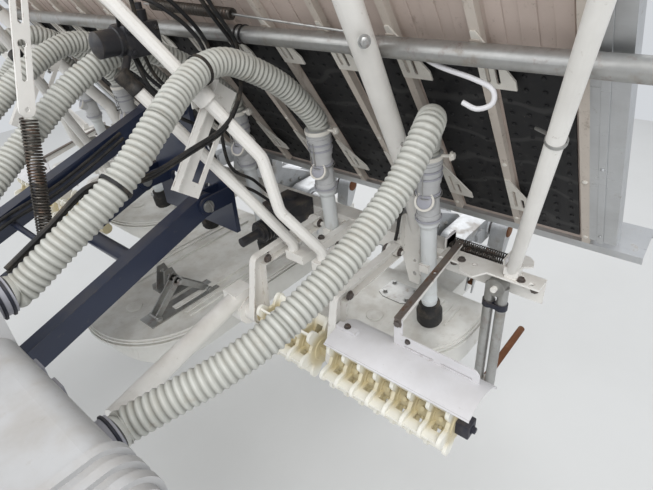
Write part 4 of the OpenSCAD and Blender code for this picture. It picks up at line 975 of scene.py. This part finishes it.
def make_seed_side(s):
    """Slide ridges, cleated belts and presser wires of the tray's seed side."""
    ridges, belts, wires, cleats = bmesh.new(), bmesh.new(), bmesh.new(), []
    strip = bmesh.new()
    add_plate(strip, rect(-0.0025, 0.0025, 0, 0.022), 0.0025,
              lambda p: TRAY_UP * p.x - TRAY_OUT * p.z - Y_AXIS * p.y)
    cleat = finish_mesh("cleat", strip, "belt")
    for i in range(6):
        y = TRAY_Y + (i - 2.5) * BAY_PITCH
        for dy in (-0.126, -0.106, -0.030, -0.010, 0.010, 0.030, 0.106, 0.126):
            add_plate(ridges, rect(0.050, 0.940, dy, 0.0028), 0.0028, seed_plane(y), bevel=0.0009)
        add_plate(ridges, rect(0.955, 0.985, 0, 0.135), 0.0060, seed_plane(y), bevel=0.0015)
        for dy in (-0.068, 0.068):
            add_plate(belts, rect(0.045, 0.520, dy, 0.026), 0.0035, seed_plane(y), bevel=0.0010)
            start = on_tray(0.055, -0.0193, y + dy)
            cleats.append(repeat(cleat, 1, 23, Vector(), TRAY_UP * CLEAT_PITCH, start))
            bar = [on_tray(u, w, y + dy) for u, w in PRESSER]
            for a, b in zip(bar, bar[1:]):
                add_bar(wires, a, b, 0.0026, 8)
    bpy.data.objects.remove(cleat, do_unlink=True)
    add_bar(wires, *[on_tray(*PRESSER[0], TRAY_Y + way * 0.893) for way in (-1, 1)], 0.0050, 14)
    for k in range(7):
        y = TRAY_Y + (k - 3) * BAY_PITCH
        outline = [(0.085, 0.030), (0.125, 0.030), (0.113, 0.080), (0.097, 0.080)]
        add_plate(wires, outline, 0.003, lambda p: on_tray(p.x, -TRAY_T - p.y, y + p.z - 0.0015))
        for u in (0.30, 0.62, 0.93):
            add_rivet(wires, on_tray(u, -0.0535, y), -TRAY_OUT, (0, 0.0042), (0.0018, 0.0038), (0.0026, 0.0020))
    piece("slide_ridges", ridges, "seed", "tray", "rose")
    piece("seed_belts", belts, "belt", "tray", "black")
    piece("presser_wires", wires, "zinc", "tray", "alloy")
    place(join(cleats, "belt_cleats"), "tray", "black")


def make_rotors(s):
    """Bosses, studs, end caps, guard lips, bolts and adjusting bars of the levelling rotors."""
    for side, tag in SIDES.items():
        body = "rotor_frame_" + tag
        bm = bmesh.new()
        boss = [(0, 0.0295), (0.002, 0.0315), (0.010, 0.0315), (0.012, 0.0295)]
        for start, cells in CELL_GROUPS:
            for i in range(cells + 1):
                add_turned(bm, ROTOR + Y_AXIS * (side * (start + i * CELL) - 0.006), Y_AXIS, boss, 28)
            for i in range(cells):
                for b in range(6):
                    a = math.radians(60 * b + 30)
                    out = Vector((math.cos(a), 0, -math.sin(a)))
                    at = ROTOR + 0.024 * out + Y_AXIS * side * (start + (i + 0.5) * CELL)
                    add_bar(bm, at - 0.004 * out, at + 0.006 * out, 0.0052, 10)
        piece("rotor_bosses_" + tag, bm, "cream", "rotor_" + tag, "cream")
        bm = bmesh.new()
        half = Vector((0.0165, 0, 0.0165))
        add_box(bm, ROTOR - half + Y_AXIS * 0.972, ROTOR + half + Y_AXIS * 1.005, 0.0030, side)
        add_hex(bm, ROTOR + Y_AXIS * side * 1.005, (0, side, 0), 0.0065, 0.0055)
        piece("rotor_cap_" + tag, bm, "cap_black", "rotor_" + tag, "cream")
        bm = bmesh.new()
        for angle in (58, 140):
            a = math.radians(angle)
            p = ROTOR + (GUARD_R - 0.0015) * Vector((math.cos(a), 0, math.sin(a))) + Y_AXIS * side * 0.6785
            add_bar(bm, p, p + Y_AXIS * side * 0.3365, 0.0026, 10)
        piece("guard_lips_" + tag, bm, "guard", body, "white")
        bm = bmesh.new()
        add_hex(bm, (-0.8590, side * BAR_Y, 0.100), X_AXIS, 0.0065, 0.005)
        add_hex(bm, (-0.860, side * 0.836, 0.062), X_AXIS, 0.0045, 0.004)
        add_hex(bm, (-0.828, side * 0.704, 0.0555), Z_AXIS, 0.0055, 0.005)
        for y in (0.420, 0.678):
            for x, z in ((-1.07, 0.110), (-0.870, 0.104)):
                add_hex(bm, (x, side * y, z), (0, side, 0), 0.0080, 0.006)
        piece("frame_bolts_" + tag, bm, "bolt", body, "zinc")
        bm = bmesh.new()
        start, stop = Vector((-0.8560, side * BAR_Y, 0.1115)), Vector((-1.1235, side * BAR_Y, 0.1625))
        length, run = (stop - start).length, (stop - start).normalized()
        up = Vector((run.z, 0, -run.x))
        shoulder = length - 0.006
        outline = [(0, -0.0075), (shoulder, -0.0075), (length, 0), (shoulder, 0.0075), (0, 0.0075)]
        holes = [circle(x, 0, 0.0035, 12) for x in (length - 0.014, length * 0.55)]
        add_plate(bm, outline, 0.0030, lambda p: start + run * p.x + Y_AXIS * p.y + up * p.z, holes)
        add_box(bm, (-0.8600, BAR_Y - 0.0075, 0.0920), (-0.8570, BAR_Y + 0.0075, 0.1120), 0.0006, side)
        piece("adjusting_bar_" + tag, bm, "rust_zinc", body, "zinc")


def make_linkage(s):
    """Pins, rings, washers and bolts of the lift linkage and its brackets."""
    bm = bmesh.new()
    for y in (-0.15, 0.15):
        for z in (-0.15, 0.15):
            add_hex(bm, (-0.0118, y, z), -X_AXIS, 0.0105, 0.009)
    for side in SIDES:
        for z, y in ((-0.083, 0.181), (0.146, 0.054)):
            add_turned(bm, (-0.090, side * y, z), (0, side, 0), [(0, 0.0165), (0.0025, 0.0165)])
        for x in (-0.075, -0.145, -0.215):
            add_hex(bm, (x, side * 0.160, 0.150), (0, side, 0), 0.0065, 0.006)
    piece("vehicle_bolts", bm, "zinc", "vehicle_bracket", "zinc")
    bm = bmesh.new()
    for side in SIDES:
        add_turned(bm, (-0.8907, side * 0.1815, 0.171), (0, side, 0), [(0, 0.0165), (0.0030, 0.0165)])
        ring_band(bm, (-0.8907, side * 0.1845, 0.171), X_AXIS, 0.0145, 0.0024, 0.0024)
        add_hex(bm, (-0.9268, side * 0.084, 0.262), X_AXIS, 0.0075, 0.007)
    piece("hitch_pins", bm, "zinc", "hitch", "zinc")


def make_beam(s):
    """Bolts, spring blocks and ties on the main beam and the uprights."""
    bm = bmesh.new()
    for side in SIDES:
        for y in (0.796, 0.860, 0.988):
            add_hex(bm, (BEAM_FRONT + 0.0050, side * y, 0.098), X_AXIS, 0.0070, 0.006)
        for y in (0.828, 0.965):
            add_hex(bm, (BEAM_FRONT + 0.034, side * y, 0.129), Z_AXIS, 0.0065, 0.0055)
        for y in (0.3855, 0.6435):
            add_hex(bm, (-1.070, side * y, 0.110), (0, -side, 0), 0.0085, 0.006)
        for y in (0.478, 0.536):
            add_hex(bm, (-1.010, side * y, 0.112), Z_AXIS, 0.0065, 0.005)
    for y in (0.256, 0.334):
        for z in (0.062, 0.138):
            add_hex(bm, (-1.0265, y, z), X_AXIS, 0.0060, 0.005)
    piece("beam_bolts", bm, "bolt", "planting_frame", "zinc")
    bm = bmesh.new()
    for side in SIDES:
        add_box(bm, (-1.1785, 0.9115, 0.1175), (-1.1330, 0.9270, 0.1440), 0.0015, side)
        add_box(bm, (-1.1785, 0.7640, 0.1175), (-1.1330, 0.7700, 0.1480), 0.0010, side)
    piece("spring_blocks", bm, "guard", "planting_frame", "white")
    bm = bmesh.new()
    for side in SIDES:
        for x, z in ((-1.1480, 0.190), (-1.1425, 0.245)):
            ring_band(bm, (x, side * 0.684, z), Z_AXIS, 0.0230, 0.0020, 0.0050)
    piece("upright_ties", bm, "black", "planting_frame", "black")


def make_outlets(s):
    """Rings and wires on the outlet cuffs, clear tips above the boots, rims and discs on the branches."""
    bands, wires, tips, rims, discs = [bmesh.new() for _ in range(5)]
    for y in ROWS:
        top, low = OUTLET_TOP + Y_AXIS * y, OUTLET_LOW + Y_AXIS * y
        for at, radius in ((0.034, 0.0292), (0.050, 0.0288), (0.090, 0.0258), (0.156, 0.0284)):
            ring_band(bands, top + at * OUTLET_DIR, OUTLET_DIR, radius, 0.0020, 0.0040)
        for dy in (-0.006, 0.006):
            p = top + 0.030 * OUTLET_DIR + Vector((0.0315, dy, 0))
            add_bar(wires, p, p + 0.062 * OUTLET_DIR + Vector((0.002, 0, 0)), 0.0013, 8)
        ring_band(wires, top + 0.095 * OUTLET_DIR, OUTLET_DIR, 0.0285, 0.0022, 0.0022)
        ring_band(tips, low - 0.012 * OUTLET_DIR, OUTLET_DIR, 0.0191, 0.0016, 0.0060)
        ring_band(tips, low - 0.040 * OUTLET_DIR, OUTLET_DIR, 0.0191, 0.0012, 0.0040)
        out = Vector((0.85, math.copysign(0.2, y), 0.48)).normalized()
        end = top + BRANCH_AT * OUTLET_DIR + 0.0345 * out
        ring_band(rims, end, out, 0.0172, 0.0046, 0.0050)
        add_turned(discs, end, out, [(0, 0.0162), (0.0022, 0.0162), (0.0032, 0.0150)], 28)
    piece("cuff_rings", bands, "cap_grey", "planting_frame", "hose_grey")
    piece("cuff_wires", wires, "zinc", "planting_frame", "zinc")
    piece("tip_rings", tips, "pale", "planting_frame", "hose_grey")
    piece("branch_rims", rims, "clip", "planting_frame", "hose_grey")
    piece("branch_discs", discs, "cap_grey", "planting_frame", "hose_grey")


def make_floats(s):
    """Ridges, plugs, nuts and brackets on the floats."""
    for (tag, y), front in zip(PLANTERS, (-0.945, -0.560, -0.945)):
        bm = bmesh.new()
        for side in SIDES:
            for dy in (0.150, 0.172):
                low, high = sorted((y + side * dy - 0.004, y + side * dy + 0.004))
                add_box(bm, (-1.235, low, DECK - 0.002), (front - 0.20, high, DECK + 0.0045), 0.0012)
        plug = [(0, 0.024), (0.005, 0.023), (0.007, 0.017), (0.0072, 0.004)]
        add_turned(bm, (front - 0.125, y, DECK - 0.001), Z_AXIS, plug, 28)
        piece("float_ridges_" + tag, bm, "float_white", "float_" + tag, "float_white")
        bm = bmesh.new()
        x = front - 0.26
        plate = [(-0.030, -0.052), (0.040, -0.052), (0.052, -0.030), (0.052, 0.030), (0.040, 0.052),
                 (-0.030, 0.052)]
        add_plate(bm, [(x + a, y + b) for a, b in plate], 0.003, lambda p: p + Z_AXIS * (DECK - 0.0003))
        for a in (0.030, -0.020):
            for b in (0.036, -0.036):
                add_hex(bm, (x + a, y + b, DECK + 0.0025), Z_AXIS, 0.0055, 0.005)
        if tag == "centre":
            for side in SIDES:
                outline = [(x - 0.025, DECK + 0.001), (x + 0.045, DECK + 0.001), (x + 0.025, DECK + 0.075),
                           (x - 0.002, DECK + 0.075)]
                holes = [slot_outline(x + 0.008, x + 0.016, DECK + 0.055, 0.0040)]
                add_plate(bm, outline, 0.003, side_view(side * 0.020 - 0.0015), holes)
            add_bar(bm, (x + 0.012, -0.030, DECK + 0.055), (x + 0.012, 0.030, DECK + 0.055), 0.0035)
        piece("float_bracket_" + tag, bm, "zinc", "float_" + tag, "zinc")


def make_planting(s):
    """Covers, bolts and push rods of the rotary planting cases and their arms."""
    cover = [(0, 0.0300), (0.003, 0.0300), (0.006, 0.0270), (0.006, 0.0140), (0.0085, 0.0135)]
    for tag, y in PLANTERS:
        bm = bmesh.new()
        for side in SIDES:
            for c in (-CRANK, CRANK):
                add_turned(bm, (ROTARY_X + c, y + side * 0.1135, ROTARY_Z), (0, side, 0), cover, 32)
            for k in range(6):
                a = math.radians(60 * k + 30)
                at = (ROTARY_X + 0.024 * math.cos(a), y + side * 0.118, ROTARY_Z + 0.024 * math.sin(a))
                add_hex(bm, at, (0, side, 0), 0.0040, 0.0035, False)
        piece("rotary_covers_" + tag, bm, "alloy", "rotary_" + tag, "alloy")
        for arm, x in (("a", ROTARY_X + CRANK), ("b", ROTARY_X - CRANK)):
            bm = bmesh.new()
            for side in SIDES:
                yy = y + side * 0.150
                for k in (-1, 1):
                    add_turned(bm, (x, yy + k * 0.0238, ROTARY_Z), (0, k, 0),
                               [(0, 0.0200), (0.0025, 0.0200), (0.0045, 0.0170)], 28)
                add_bar(bm, (x + 0.004, yy, -0.052), (x + 0.0215, yy, -0.110), 0.0045)
                add_box(bm, (x + 0.012, yy - 0.0075, -0.122), (x + 0.030, yy + 0.0075, -0.114), 0.001)
            piece("arm_rods_%s_%s" % (arm, tag), bm, "rust", "arms_%s_%s" % (arm, tag), "zinc")
        bm = bmesh.new()
        for k in range(5):
            for side in SIDES:
                at = (-1.40 + 0.045 * k, y + side * 0.0282, 0.020 + 0.010 * k)
                add_hex(bm, at, (0, side, 0), 0.0050, 0.004)
        piece("case_bolts_" + tag, bm, "zinc", "planting_frame", "zinc")


def make_duct(s):
    """Seam, clips and spigot bands of the distributor duct."""
    clips, bands = bmesh.new(), bmesh.new()
    for side in SIDES:
        add_box(clips, (-0.3095, 0.300, 0.2665), (-0.3055, 0.885, 0.2695), 0.0008, side)
        for y in (0.36, 0.56, 0.62, 0.82):
            add_box(clips, (-0.3110, y - 0.014, 0.252), (-0.3050, y + 0.014, 0.284), 0.0012, side)
        for y, z in SPIGOTS:
            for x, outer in ((-0.3140, 0.0340), (-0.3265, 0.0332)):
                band = [(0, 0.031), (0.001, outer), (0.004, outer), (0.005, 0.031)]
                add_turned(bands, (x, side * y, z), X_AXIS, band, 32)
    piece("duct_clips", clips, "cap_grey", "vehicle_bracket", "duct_grey")
    piece("spigot_bands", bands, "cap_black", "vehicle_bracket", "black")


def make_rods(s):
    """Hook rod, tension spring, foot channels, hose clamps and the centre float's scissor bracket."""
    hook = [(-0.930, y, z) for y, z in ((0.768, 0.620), (0.829, 0.593), (0.894, 0.578), (0.926, 0.566),
                                        (0.929, 0.545), (0.905, 0.533), (0.880, 0.540))]
    place(join([tube(hook, 0.0042, "guard")], "hook_rod"), "planting_frame", "white")
    p, q = Vector((-0.892, 0.130, 0.668)), Vector((-0.892, 0.400, 0.657))
    place(spring_between("tension_coil", p, q, 0.0100, 0.0017, 60), "planting_frame", "zinc")
    bm = bmesh.new()
    add_bar(bm, p, p + (p - q) * 0.13, 0.0024, 8)
    add_bar(bm, q, (-0.880, 0.735, 0.640), 0.0024, 8)
    for side in SIDES:
        at = Vector((-0.905, side * 1.037, 0.515))
        ring_band(bm, at, (0.385, 0.183 * side, 0.743), 0.0137, 0.0022, 0.0060)
        near, far = mirror((-0.012, -0.008, 0), side), mirror((-0.062, -0.050, -0.010), side)
        add_bar(bm, at + near, at + far, 0.0030, 8)
        for z, x in ((0.640, -0.848), (0.420, -0.985)):
            c, d = Vector((x, side * 0.742, z)), Vector((0.6, side * 0.8, 0))
            add_bar(bm, c - d * 0.036, c + d * 0.036, 0.0038, 10)
            for way in (d, -d):
                add_hex(bm, c + way * 0.026, way, 0.0072, 0.006)
    piece("tension_rods", bm, "zinc", "planting_frame", "zinc")
    bm = bmesh.new()
    for side in SIDES:
        outline = [(side * y, z) for y, z in ((0.655, 0.186), (0.716, 0.186), (0.716, 0.060), (0.704, -0.010),
                                              (0.676, -0.010), (0.655, 0.060))]
        holes = [circle(side * 0.690, z, radius) for z, radius in ((0.020, 0.0065), (0.165, 0.0060),
                                                                  (0.060, 0.0045))]
        add_plate(bm, outline, 0.003, lambda p: Vector((-1.1265 + p.z, p.x, p.y)), holes)
        fold = [(-1.1255, 0.186), (-1.1255, 0.000), (-1.1050, 0.040), (-1.0980, 0.150), (-1.1120, 0.186)]
        add_plate(bm, fold, 0.003, side_view(side * 0.716 - (0.003 if side > 0 else 0)))
        fold = [(-1.1255, 0.186), (-1.1255, 0.060), (-1.1080, 0.080), (-1.1040, 0.150), (-1.1120, 0.186)]
        add_plate(bm, fold, 0.003, side_view(side * 0.655 - (0 if side > 0 else 0.003)))
    piece("foot_channels", bm, "white", "planting_frame", "white")
    bm = bmesh.new()
    for y in ROWS:
        out = Vector((-0.10, math.copysign(0.95, y), 0.1)).normalized()
        c = OUTLET_TOP + Y_AXIS * y + 0.004 * OUTLET_DIR
        ring_band(bm, c, OUTLET_DIR, 0.0305, 0.0022, 0.0090)
        add_bar(bm, c + out * 0.030, c + out * 0.054, 0.0036, 10)
        add_hex(bm, c + out * 0.050, out, 0.0070, 0.006)
    piece("hose_clamps", bm, "clip", "planting_frame", "zinc")
    bm = bmesh.new()
    for y in (0.088, 0.112):
        for a, b in (((-0.690, -0.120), (-0.792, -0.030)), ((-0.868, -0.120), (-0.770, -0.030))):
            a, b = Vector(a), Vector(b)
            v = (b - a).normalized()
            n = Vector((-v.y, v.x)) * 0.009
            add_plate(bm, [tuple(c) for c in (a - n, b - n, b + n, a + n)], 0.004, side_view(y))
    for x, z in ((-0.690, -0.120), (-0.868, -0.120), (-0.781, -0.040)):
        add_bar(bm, (x, 0.078, z), (x, 0.126, z), 0.0050)
        add_hex(bm, (x, 0.126, z), Y_AXIS, 0.0075, 0.005)
    add_box(bm, (-0.900, 0.070, -0.1285), (-0.660, 0.134, -0.1240), 0.001)
    piece("float_scissor", bm, "zinc", "float_centre", "zinc")


def make_stands(s):
    """Loop clips and rusty foot rods of the parking stands."""
    for side, tag in SIDES.items():
        bm = bmesh.new()
        for y in (0.900, 0.930):
            ring_band(bm, (-1.102, side * y, 0.040), Z_AXIS, 0.0124, 0.0022, 0.0160)
        add_box(bm, (-1.0905, 0.902, 0.034), (-1.0875, 0.928, 0.046), 0.0008, side)
        piece("stand_clips_" + tag, bm, "cap_black", "stand_" + tag, "zinc")
        bm = bmesh.new()
        add_bar(bm, (-1.3430, side * 0.915, -0.208), (-1.1150, side * 0.915, -0.208), 0.0093, 20, 0.0015)
        piece("foot_rod_" + tag, bm, "rust", "stand_" + tag, "zinc")


# Name, place, target, power and width of each light
LIGHTS = (
    ("key", (1.2, 2.6, 3.2), (-0.9, 0.2, 0.2), 120, 2.6),
    ("fill", (2.4, -1.8, 2.2), (-0.8, 0, 0.2), 55, 3.0),
    ("back", (-3.4, -1.0, 2.6), (-1.0, 0, 0.3), 60, 2.6),
)
CAMERA_AT = (-0.200, 1.235, 0.780)
CAMERA_RIGHT, CAMERA_DOWN = Vector((-0.6434, 0.7628, -0.0641)), Vector((0.4402, 0.3001, -0.8463))
FLOOR_BELOW = 0.500


def make_stage():
    """Pale floor, soft lights and the photo's camera."""
    scene = bpy.context.scene
    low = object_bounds()[0]
    bm = bmesh.new()
    add_box(bm, (-5.0, -4.5, low[2] - FLOOR_BELOW - 0.002), (3.5, 4.5, low[2] - FLOOR_BELOW))
    MATERIALS["floor"] = floor_finish()
    floor = finish_mesh("floor", bm, "floor")
    lights = []
    for name, at, to, energy, extent in LIGHTS:
        data = bpy.data.lights.new(name, "AREA")
        data.energy, data.size = energy, extent
        lamp = bpy.data.objects.new(name, data)
        lamp.location = at
        lamp.rotation_euler = (Vector(to) - Vector(at)).to_track_quat("-Z", "Y").to_euler()
        scene.collection.objects.link(lamp)
        lights.append(lamp)
    world = bpy.data.worlds.new("soft_sky")
    world.use_nodes = True
    world.node_tree.nodes["Background"].inputs["Color"].default_value = (0.86, 0.89, 0.93, 1)
    world.node_tree.nodes["Background"].inputs["Strength"].default_value = 0.75
    scene.world = world
    scene.view_settings.view_transform = "Standard"
    data = bpy.data.cameras.new("camera")
    data.sensor_width = SENSOR
    data.lens = SENSOR * FOCAL / IMAGE_W
    data.clip_start = 0.02
    camera = bpy.data.objects.new("camera", data)
    right = CAMERA_RIGHT.normalized()
    down = (CAMERA_DOWN - right * CAMERA_DOWN.dot(right)).normalized()
    turn = Matrix((right, -down, -right.cross(down))).transposed().to_4x4()
    camera.matrix_world = Matrix.Translation(CAMERA_AT) @ turn
    scene.collection.objects.link(camera)
    scene.camera = camera
    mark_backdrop(floor, camera, *lights)


# Add-on

def operator(label, work):
    """An operator class that runs one piece's function on the scene's settings."""
    def execute(self, context):
        work(context.scene.planting_sizes)
        return {"FINISHED"}
    idname = work.__name__.removeprefix("make_")
    members = {"bl_idname": "planting." + idname, "bl_label": label, "__doc__": work.__doc__.strip("."),
               "bl_options": {"REGISTER", "UNDO"}, "execute": execute}
    return type("PLANTING_OT_" + idname, (bpy.types.Operator,), members)


class PLANTING_OT_finishes(bpy.types.Operator):
    """Makes the finishes and gives each CAD node its own"""
    bl_idname = "planting.finishes"
    bl_label = "Finishes"

    def execute(self, context):
        make_materials(context.scene.planting_colours)
        for key, nodes in SHADES.items():
            for name in nodes.split():
                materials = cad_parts[name].data.materials
                materials.clear()
                materials.append(MATERIALS[key])
        return {"FINISHED"}


class PLANTING_OT_stage(bpy.types.Operator):
    """Sets up the floor, the lights and the camera"""
    bl_idname = "planting.stage"
    bl_label = "Stage"

    def execute(self, context):
        make_stage()
        return {"FINISHED"}


PIECES = [operator(label, work) for label, work in (
    ("Hoses", make_hoses), ("Cables", make_cables), ("Springs", make_springs), ("Tray", make_tray),
    ("Seed side", make_seed_side), ("Rotors", make_rotors), ("Linkage", make_linkage), ("Beam", make_beam),
    ("Outlets", make_outlets), ("Floats", make_floats), ("Planting cases", make_planting), ("Duct", make_duct),
    ("Rods", make_rods), ("Stands", make_stands),
)]
OPERATORS = [PLANTING_OT_finishes, *PIECES, PLANTING_OT_stage]


class PLANTING_PT_panel(bpy.types.Panel):
    """Buttons that build each piece, and the settings behind them"""
    bl_label = "Planting Unit"
    bl_idname = "PLANTING_PT_panel"
    bl_space_type = "VIEW_3D"
    bl_region_type = "UI"
    bl_category = "Planting Unit"

    def draw(self, context):
        layout = self.layout
        for group in (context.scene.planting_colours, context.scene.planting_sizes):
            for name in group.__annotations__:
                layout.prop(group, name)
        for made in OPERATORS:
            layout.operator(made.bl_idname)


CLASSES = [PlantingColours, PlantingSizes, *OPERATORS, PLANTING_PT_panel]


def register():
    for made in CLASSES:
        bpy.utils.register_class(made)
    bpy.types.Scene.planting_colours = PointerProperty(type=PlantingColours)
    bpy.types.Scene.planting_sizes = PointerProperty(type=PlantingSizes)


def unregister():
    del bpy.types.Scene.planting_sizes
    del bpy.types.Scene.planting_colours
    for made in reversed(CLASSES):
        bpy.utils.unregister_class(made)


def main():
    register()
    for made in OPERATORS:
        getattr(bpy.ops.planting, made.bl_idname.split(".")[1])()


if __name__ == "__main__":
    main()
